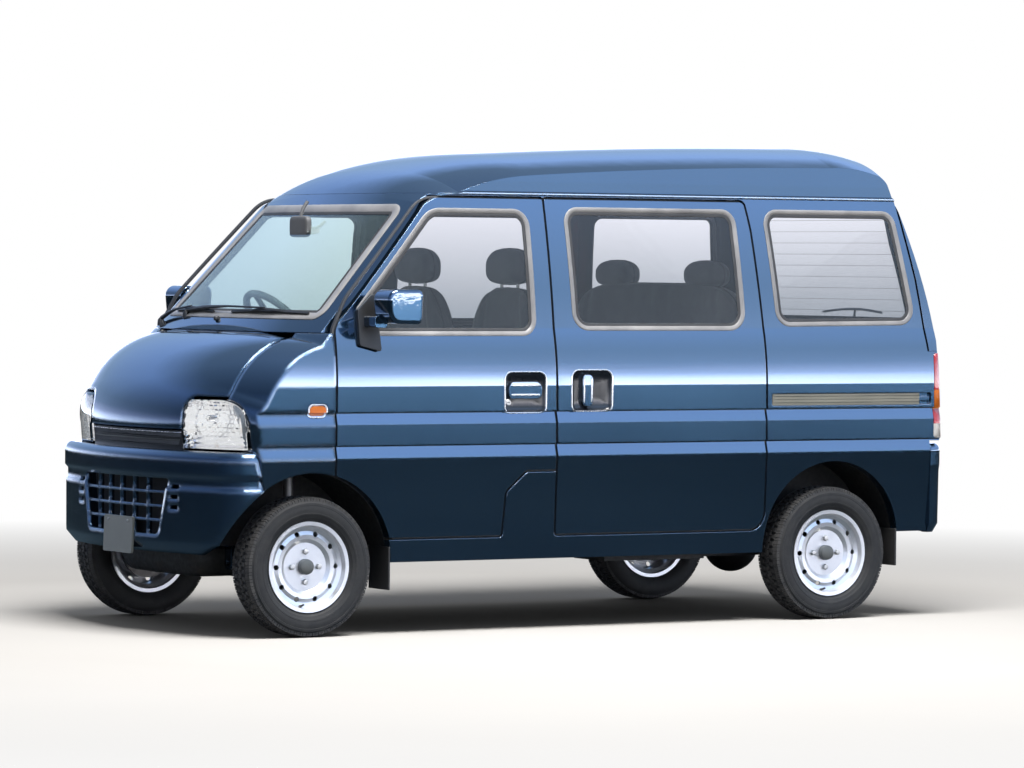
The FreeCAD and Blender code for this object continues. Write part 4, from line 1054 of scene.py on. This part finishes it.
def welt(low, high, power, form, line, radius=0.003):
    """Piping sewn along a line given in the pad's own unit coordinates."""
    low, high = Vector(low), Vector(high)
    middle, half = (low + high) / 2, (high - low) / 2
    points = []
    for u in line:
        r = sum(abs(c) ** power for c in u) ** (1 / power)
        v = form(Vector(u) / r)
        points.append(Vector((middle.x + half.x * v.x, middle.y + half.y * v.y, middle.z + half.z * v.z)))
    return tube(points, radius, 6, closed=True)


def pad(name, low, high, power, form, body, cuts=26, loops=()):
    parts = [(0, boxy(low, high, power, cuts, form))]
    for line in loops:
        parts.append((1, welt(low, high, power, form, line)))
    obj = finished(name, joined(parts), [cloth, piping], body, sharp=80)
    return obj


def around(axis, place, count=72):
    """A loop about a unit block at a place on one axis."""
    points = []
    for k in range(count):
        a = 2 * math.pi * k / count
        c, d = math.cos(a), math.sin(a)
        p, q = abs(c) ** 0.35 * (1 if c >= 0 else -1), abs(d) ** 0.35 * (1 if d >= 0 else -1)
        at = [p, q]
        at.insert(axis, place)
        points.append(Vector(at))
    return points


def seats():
    first = None
    for side, s in SIDES:
        y = s * 0.355
        low, high = (0.213, y - 0.243, 0.664), (0.688, y + 0.243, 0.818)
        piece = pad("front_cushion_" + side, low, high, 5.0, cushion_form, "van", 30,
                    [around(2, 0.35), around(2, -0.6)])
        first = first or piece
        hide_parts("front_seats")
        low, high = (0.129, y - 0.243, 0.726), (0.243, y + 0.243, 1.300)
        piece = pad("front_backrest_" + side, low, high, 4.0, back_form, "van", 30,
                    [around(0, 0.2), around(0, -0.7)])
        low, high = (0.131, y - 0.131, 1.314), (0.239, y + 0.131, 1.452)
        piece = pad("headrest_front_" + side, low, high, 3.4, rest_form, "van", 14, [around(0, 0.0, 48)])
        parts = []
        for t in (-0.06, 0.06):
            parts.append((0, tube([Vector((0.185, y + t, 1.25)), Vector((0.185, y + t, 1.345))], 0.0065, 14)))
        for a in (-0.165, 0.165):
            parts.append((1, boxy((0.23, y + a - 0.016, 0.628), (0.64, y + a + 0.016, 0.668), 9, 3)))
            parts.append((1, boxy((0.16, y + (0.236 if a > 0 else -0.246), 0.70),
                                  (0.27, y + (0.246 if a > 0 else -0.236), 0.80), 6, 4)))
        inner, outer = sorted((s * 0.345, s * 0.56))
        parts.append((1, boxy((0.302, inner, 0.502), (0.64, outer, 0.668), 14, 3)))
        finished("front_seat_frame_" + side, joined(parts), [nut_steel, chassis_black], "van", sharp=40)
    low, high = (-0.702, -0.603, 0.766), (-0.236, 0.603, 0.914)
    piece = pad("rear_cushion", low, high, 6.0, bench_form, "van", 40, [around(2, 0.3, 120)])
    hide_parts("rear_seat")
    low, high = (-0.792, -0.603, 0.820), (-0.684, 0.603, 1.320)
    pad("rear_backrest", low, high, 5.0, bench_back_form, "van", 40, [around(0, 0.1, 120)])
    for side, s in SIDES:
        y = s * 0.33
        pad("headrest_rear_" + side, (-0.795, y - 0.127, 1.306), (-0.697, y + 0.127, 1.411), 3.4, rest_form, "van",
            14, [around(0, 0.0, 48)])
    finished("rear_seat_box", boxy((-0.64, -0.5, 0.618), (-0.30, 0.5, 0.80), 12, 3), [chassis_black], "van")


# door furniture
def scaled(outline, size, centre=None):
    """An outline made smaller about a centre, by default the mean of its points."""
    n = len(outline)
    cx, cz = centre or (sum(p.x for p in outline) / n, sum(p.y for p in outline) / n)
    return [(cx + (p.x - cx) * size, cz + (p.y - cz) * size) for p in outline]


def let_in(outline, s, rows):
    """Closed shape whose rings, (size, depth) each, lie under the side's skin."""
    return ringed([[Vector((x, s * (skin_y(z) - depth), z)) for x, z in scaled(outline, size)]
                   for size, depth in rows])


def handles():
    for side, s in SIDES:
        for name, x0, x1, z0, z1 in (("front", 0.249, 0.432, 0.828, 0.984), ("sliding", -0.049, 0.133, 0.832, 0.990)):
            body = "front_door_" + side if name == "front" else "van"
            outline = rounded([(x0, z0, 0.022), (x1, z0, 0.022), (x1, z1, 0.030), (x0, z1, 0.030)], 7)
            spots = [on_side(s, True)(p.x, p.y) for p in outline]
            # painted highlight: a bright metal strip round the handle recess stands in for light on the rounded paint
            # edge
            ring = [(-0.0035, -0.003), (-0.0035, 0.0004), (-0.0015, 0.0014), (0.001, 0.0014), (0.0026, 0.0002),
                    (0.0026, -0.006)]
            finished("handle_rim_highlight_%s_%s" % (name, side),
                     strip([p[0] for p in spots], calm([p[1] for p in spots], 6), ring),
                     [bright_trim_and_highlight], body, sharp=50)
            # painted shade: a near-black lining darkens the handle recess; its curve still gives real reflections
            rows = [(0.970, 0.0178), (0.985, 0.003), (0.955, 0.0035), (0.93, 0.007), (0.88, 0.0115), (0.80, 0.0145),
                    (0.66, 0.0160), (0.40, 0.0166)]
            finished("handle_bowl_%s_%s" % (name, side), let_in(outline, s, rows), [bowl_painted_shade], body, sharp=50)
            # painted highlights: thin bright bars in the recess stand in for light catching the pull
            parts = []
            if name == "front":
                for low, high in ((0.9285, 0.9375), (0.8925, 0.9015)):
                    y = skin_y((low + high) / 2)
                    a, b = sorted((s * (y - 0.004), s * (y + 0.0006)))
                    parts.append((0, boxy((0.276, a, low), (0.406, b, high), 5, 6)))
            else:
                y = skin_y(0.912)
                for low, high in ((0.0405, 0.0475), (0.0745, 0.0815)):
                    a, b = sorted((s * (y - 0.004), s * (y + 0.0006)))
                    parts.append((0, boxy((low, a, 0.862), (high, b, 0.962), 5, 6)))
            finished("handle_bar_highlights_%s_%s" % (name, side), joined(parts), [bright_trim_and_highlight], body)


def slide_rails():
    for side, s in SIDES:
        low, high = 0.8470, 0.8930
        section = [(low, -0.012), (low, -0.0030), (low + 0.0012, -0.0016)]
        for z, depth in ((0.8575, 0.0065), (0.8700, 0.0034), (0.8825, 0.0065)):
            section += [(z - 0.0016, -0.0014), (z - 0.0011, -depth), (z + 0.0011, -depth), (z + 0.0016, -0.0014)]
        section += [(high - 0.0012, -0.0016), (high, -0.0030), (high, -0.012)]
        ends = ((-1.500, 0.0015), (-1.498, 0.0), (-0.794, 0.0), (-0.7925, 0.0015))
        rings = [[Vector((x, s * (skin_y(z) + out - shrink), z)) for z, out in section] for x, shrink in ends]
        finished("slide_rail_cover_" + side, ringed(rings), [rail_grey], "van", sharp=30)


def mirrors():
    """Black foot cover and glass in a black frame."""
    for side, s in SIDES:
        body = "front_door_" + side
        outline = rounded([(0.9742, 1.0605, 0.010), (1.0678, 1.0845, 0.012), (1.0678, 1.2155, 0.010),
                           (0.9892, 1.2898, 0.010)], 5)
        rows = ((1.0, -0.0006), (1.0, -0.0145), (0.985, -0.0166), (0.95, -0.0172))
        finished("mirror_foot_cover_" + side, let_in(outline, s, rows), [trim_black], body, sharp=40)
        frame_line = rounded([(0.789, 1.176, 0.018), (0.893, 1.176, 0.018), (0.893, 1.287, 0.018),
                              (0.789, 1.287, 0.018)], 6)
        middle = (0.841, 1.2315)
        frame_rows = ((1.0, 0.8925), (1.0, 0.8862), (0.985, 0.8846), (0.93, 0.8846), (0.92, 0.8862))
        glass_rows = ((0.925, 0.8920), (0.925, 0.8856), (0.915, 0.8853))
        for label, material, rows in (("mirror_frame_", trim_black, frame_rows),
                                      ("mirror_glass_", mirror_chrome, glass_rows)):
            rings = [[Vector((x - (z - middle[1]) * 0.0308, s * y, z)) for y, z in scaled(frame_line, size, middle)]
                     for size, x in rows]
            finished(label + side, ringed(rings), [material], body, sharp=40)


def rear_details():
    """Tailgate handle, blank plate, wiper and the heating lines in the glass."""
    panel = on_face(surface_of(nodes["tailgate"]), 1)
    glass = on_face(surface_of(nodes["tailgate_glass"]), 1)
    up = Vector((0, 0, 1))
    hold, out = panel(0.0, 0.985)
    finished("tailgate_handle",
             boxy(hold + Vector((-0.0225, -0.19, -0.026)), hold + Vector((0.004, 0.19, 0.026)), 5, 10,
                  lambda u: Vector((u.x * (1 - 0.25 * step_up(-u.z, -0.2, 1.0)), u.y, u.z))),
             [trim_black], "tailgate", sharp=60)
    lock, out = panel(0.0, 0.930)
    finished("tailgate_lock", tube([lock - out * 0.002, lock + out * 0.005, lock + out * 0.007], 0.012, 24,
                                   taper=[0.0125, 0.0125, 0.0105]), [nut_steel], "tailgate")
    corners = rounded([(-0.165, 0.735, 0.008), (0.165, 0.735, 0.008),
                       (0.165, 0.900, 0.008), (-0.165, 0.900, 0.008)], 5)
    proud = min(panel(y, z)[0].x for y in (-0.16, 0.0, 0.16) for z in (0.76, 0.82, 0.895))
    rings = []
    for lift, shrink in ((-0.012, 1.0), (0.0040, 1.0), (0.0048, 0.992)):
        rings.append([Vector((proud - lift, y, z)) for y, z in scaled(corners, shrink, (0.0, 0.8175))])
    finished("rear_plate_blank", ringed(rings), [plate_grey], "tailgate", sharp=40)
    lines = []
    for k in range(10):
        z = 1.215 + 0.046 * k
        half = 0.515 - 0.035 * (z - 1.2)
        path = [glass(-half + 2 * half * i / 20, z) for i in range(21)]
        section = [(-0.0005, -0.0062), (-0.0005, -0.0056), (0.0005, -0.0056), (0.0005, -0.0062)]
        lines.append((0, strip([a for a, b in path], calm([b for a, b in path], 3, False), section, False,
                               path[0][0] + up)))
    finished("heating_lines", joined(lines), [heater_brown], "tailgate")
    foot, out = panel(0.0, 1.095)
    parts = [(0, tube([foot - out * 0.004, foot + out * 0.020, foot + out * 0.027], 0.014, 16,
                      taper=[0.017, 0.014, 0.009]))]
    row = [glass(0.30 - 0.42 * k / 14, 1.205 + 0.012 * math.sin(math.pi * k / 14)) for k in range(15)]
    points, normals = [a + b * 0.006 for a, b in row], [b for a, b in row]
    parts.append((1, strip(points, normals, [(-0.0012, -0.006), (-0.003, 0.004), (0.003, 0.004), (0.0012, -0.006)],
                           False, points[0] + up)))
    bow = [a + b * (0.004 + 0.007 * math.sin(math.pi * k / 14)) for k, (a, b) in enumerate(zip(points, normals))]
    parts.append((0, strip(bow, normals, [(-0.0045, -0.0015), (-0.0045, 0.0015), (0.0045, 0.0015), (0.0045, -0.0015)],
                           False, bow[0] + up)))
    neck = foot + out * 0.024
    rise = bow[7] + normals[7] * 0.006
    parts.append((0, tube([neck, neck.lerp(rise, 0.5) + out * 0.010, rise], 0.006, 10, taper=[0.009, 0.006, 0.004])))
    finished("rear_wiper", joined(parts), [wiper_black, seal_black], "tailgate", sharp=45)


def exhaust():
    """Pipe from the engine through a muffler and over the rear axle."""
    line = [(0.16, -0.20, 0.36), (0.08, -0.24, 0.30), (-0.10, -0.25, 0.285), (-0.72, -0.25, 0.285),
            (-0.86, -0.25, 0.33), (-0.98, -0.25, 0.395), (-1.20, -0.25, 0.395), (-1.32, -0.26, 0.34),
            (-1.45, -0.28, 0.275), (-1.60, -0.29, 0.262)]
    curve = bpy.data.curves.new("exhaust_line", "CURVE")
    curve.dimensions = "3D"
    run = curve.splines.new("NURBS")
    run.points.add(len(line) - 1)
    for point, place in zip(run.points, line):
        point.co = (*place, 1)
    run.order_u = 3
    run.use_endpoint_u = True
    holder = bpy.data.objects.new("exhaust_line", curve)
    scene.collection.objects.link(holder)
    path = [v.co.copy() for v in bpy.data.meshes.new_from_object(holder).vertices]
    bpy.data.objects.remove(holder)
    finished("exhaust_pipe", tube(path, 0.019, 18), [chassis_black], "van", sharp=50)
    finished("exhaust_muffler", boxy((-0.62, -0.325, 0.222), (-0.16, -0.175, 0.345), 3.2, 16,
                        lambda u: u * (1 + 0.02 * bell(abs(u.x), 0.8, 0.06))), [chassis_black], "van", sharp=60)


# painted sheen: grey tone for black window rubber catching the light
sheen_painted_rubber = rubber("window rubber with painted sheen", 0.16, 0.38)
# painted shade: near-black for dark cavities, behind the bumper opening and in the door lock's key slot
cavity_shade_black = rubber("painted cavity shade", 0.006, 0.8)
nut_steel = dark_metal("zinc nut", (0.50, 0.49, 0.47), 0.35, 0.95)
cap_grey = moulded("grey cap plastic", (0.085, 0.095, 0.10), 0.4, 500)
mirror_chrome = dark_metal("bright lamp mirror", (0.92, 0.92, 0.94), 0.14, 1.0)
lamp_white = lamp_lens("clear ribbed lens", (0.85, 0.85, 0.85))
plate_grey = moulded("plate grey", (0.11, 0.125, 0.125), 0.35, 300, 0.05)
wiper_black = moulded("wiper black", (0.02, 0.02, 0.021), 0.4, 600)
# bright metal for trim, also used for painted highlights on the door handles
bright_trim_and_highlight = dark_metal("bright trim and painted highlight", (0.55, 0.55, 0.56), 0.25, 0.9)
piping = rubber("seat piping", 0.035, 0.75)
# painted shade for the handle recesses
bowl_painted_shade = moulded("handle bowl painted shade", (0.012, 0.015, 0.022), 0.16, 300, 0.03)
heater_brown = moulded("heating line brown", (0.10, 0.045, 0.025), 0.5, 400, 0.05)
rail_grey = moulded("slide rail grey", (0.20, 0.20, 0.17), 0.45, 700)

windows()
door_seals()
wheels()
headlamps()
tail_lamps()
grille_back_shade()
slot_lines()
front_undertray()
cowl_and_wipers()
side_details()
cabin()
seats()
handles()
slide_rails()
mirrors()
rear_details()
exhaust()


# studio
def card(name, corners, material):
    mesh = bpy.data.meshes.new(name)
    mesh.from_pydata(corners, [], [tuple(range(len(corners)))])
    obj = bpy.data.objects.new(name, mesh)
    scene.collection.objects.link(obj)
    mesh.materials.append(material)
    return obj


def fade(tree, value, *stops):
    node = tree.nodes.new("ShaderNodeValToRGB")
    while len(node.color_ramp.elements) < len(stops):
        node.color_ramp.elements.new(0.5)
    for element, (spot, colour) in zip(node.color_ramp.elements, stops):
        element.position = spot
        element.color = colour + (1,)
    tree.links.new(value, node.inputs["Fac"])
    return node.outputs["Color"]


def studio_floor():
    """Pale floor that keeps the shadow near the van and fades to plain white further out."""
    f = Finish("pale floor")
    tree = f.tree
    f.put(Base_Color=f.ramp(f.noise(0.6, 2.0), (0.3, (0.455, 0.45, 0.445)), (0.7, (0.475, 0.47, 0.465))),
          Roughness=0.9)
    f.put(Specular_IOR_Level=0.1)
    reach = f.add("ShaderNodeVectorMath", operation="LENGTH")
    f.join(f.place, reach.inputs[0])
    far = f.math("MULTIPLY", reach.outputs["Value"], 0.1)
    ray = f.add("ShaderNodeLightPath")
    seen = f.math("ADD", ray.outputs["Is Camera Ray"], ray.outputs["Is Transmission Ray"])
    away = fade(tree, far, (0.28, (0, 0, 0)), (0.75, (1, 1, 1)))
    plain = f.add("ShaderNodeEmission")
    plain.inputs["Strength"].default_value = 1.0
    both = f.add("ShaderNodeMixShader")
    f.join(f.math("MULTIPLY", away, seen), both.inputs[0])
    f.join(f.shader.outputs[0], both.inputs[1])
    f.join(plain.outputs[0], both.inputs[2])
    f.join(both.outputs[0], tree.nodes["Material Output"].inputs["Surface"])
    return f.material


def dark_flag():
    """Matt dark card laid round the van for its reflections alone, as a studio uses."""
    f = Finish("dark flag")
    f.put(Base_Color=f.ramp(f.noise(0.8, 2.0), (0.3, (0.026, 0.042, 0.058)), (0.8, (0.038, 0.060, 0.078))),
          Roughness=1.0)
    f.put(Specular_IOR_Level=0.0)
    flag = card("flag", [(-180, -180, 0.004), (180, -180, 0.004), (180, 180, 0.004), (-180, 180, 0.004)], f.material)
    flag.visible_camera = False
    flag.visible_diffuse = False
    flag.visible_transmission = False
    flag.visible_shadow = False
    flag.visible_volume_scatter = False


def studio_sky():
    """Plain white behind the van; soft sky with a bright horizon in its reflections."""
    world = bpy.data.worlds.new("studio sky")
    scene.world = world
    world.use_nodes = True
    tree = world.node_tree
    tree.nodes.clear()
    way = tree.nodes.new("ShaderNodeTexCoord")
    split = tree.nodes.new("ShaderNodeSeparateXYZ")
    tree.links.new(way.outputs["Generated"], split.inputs["Vector"])
    sky = fade(tree, split.outputs["Z"], (0.0, (1, 1, 1)), (0.03, (0.72, 0.72, 0.80)), (0.075, (0.27, 0.285, 0.36)),
               (0.14, (0.12, 0.152, 0.20)), (0.22, (0.098, 0.132, 0.175)), (0.47, (0.125, 0.18, 0.285)),
               (0.64, (0.06, 0.085, 0.115)), (1.0, (0.075, 0.10, 0.135)))
    turned_away = tree.nodes.new("ShaderNodeMath")
    turned_away.operation = "MULTIPLY_ADD"
    turned_away.inputs[1].default_value = 0.5
    turned_away.inputs[2].default_value = 0.5
    tree.links.new(split.outputs["Y"], turned_away.inputs[0])
    veil = fade(tree, turned_away.outputs[0], (0.05, (0.30, 0.34, 0.40)), (0.5, (0.6, 0.64, 0.7)), (0.75, (1, 1, 1)))
    shaded = tree.nodes.new("ShaderNodeVectorMath")
    shaded.operation = "MULTIPLY"
    tree.links.new(sky, shaded.inputs[0])
    tree.links.new(veil, shaded.inputs[1])
    ahead = fade(tree, split.outputs["X"], (0.2, (1, 1, 1)), (0.75, (0.26, 0.28, 0.32)))
    dimmed = tree.nodes.new("ShaderNodeVectorMath")
    dimmed.operation = "MULTIPLY"
    tree.links.new(shaded.outputs[0], dimmed.inputs[0])
    tree.links.new(ahead, dimmed.inputs[1])
    ray = tree.nodes.new("ShaderNodeLightPath")
    reflected = tree.nodes.new("ShaderNodeBackground")
    tree.links.new(dimmed.outputs[0], reflected.inputs["Color"])
    reflected.inputs["Strength"].default_value = 10.0
    plain = tree.nodes.new("ShaderNodeBackground")
    plain.inputs["Color"].default_value = (1, 1, 1, 1)
    plain.inputs["Strength"].default_value = 1.0
    fill = tree.nodes.new("ShaderNodeBackground")
    fill.inputs["Color"].default_value = (0.96, 0.98, 1.0, 1)
    fill.inputs["Strength"].default_value = 0.36
    shine = tree.nodes.new("ShaderNodeMixShader")
    tree.links.new(ray.outputs["Is Glossy Ray"], shine.inputs[0])
    tree.links.new(fill.outputs[0], shine.inputs[1])
    tree.links.new(reflected.outputs[0], shine.inputs[2])
    seen = tree.nodes.new("ShaderNodeMath")
    seen.operation = "MAXIMUM"
    tree.links.new(ray.outputs["Is Camera Ray"], seen.inputs[0])
    tree.links.new(ray.outputs["Is Transmission Ray"], seen.inputs[1])
    last = tree.nodes.new("ShaderNodeMixShader")
    tree.links.new(seen.outputs[0], last.inputs[0])
    tree.links.new(shine.outputs[0], last.inputs[1])
    tree.links.new(plain.outputs[0], last.inputs[2])
    out = tree.nodes.new("ShaderNodeOutputWorld")
    tree.links.new(last.outputs[0], out.inputs["Surface"])


def softbox(name, where, target, width, depth, power, tint=(1, 1, 1)):
    data = bpy.data.lights.new(name, "AREA")
    data.energy = power
    data.color = tint
    data.shape = "RECTANGLE"
    data.size = width
    data.size_y = depth
    lamp = bpy.data.objects.new(name, data)
    lamp.location = where
    lamp.rotation_euler = (Vector(target) - Vector(where)).to_track_quat("-Z", "Y").to_euler()
    scene.collection.objects.link(lamp)
    return lamp


def studio():
    card("floor", [(-60, -60, 0), (60, -60, 0), (60, 60, 0), (-60, 60, 0)], studio_floor())
    dark_flag()
    studio_sky()
    softbox("key light", (0.8, 3.0, 7.5), (0, 0, 0.4), 5.0, 3.0, 1350, (1.0, 0.97, 0.93))


studio()
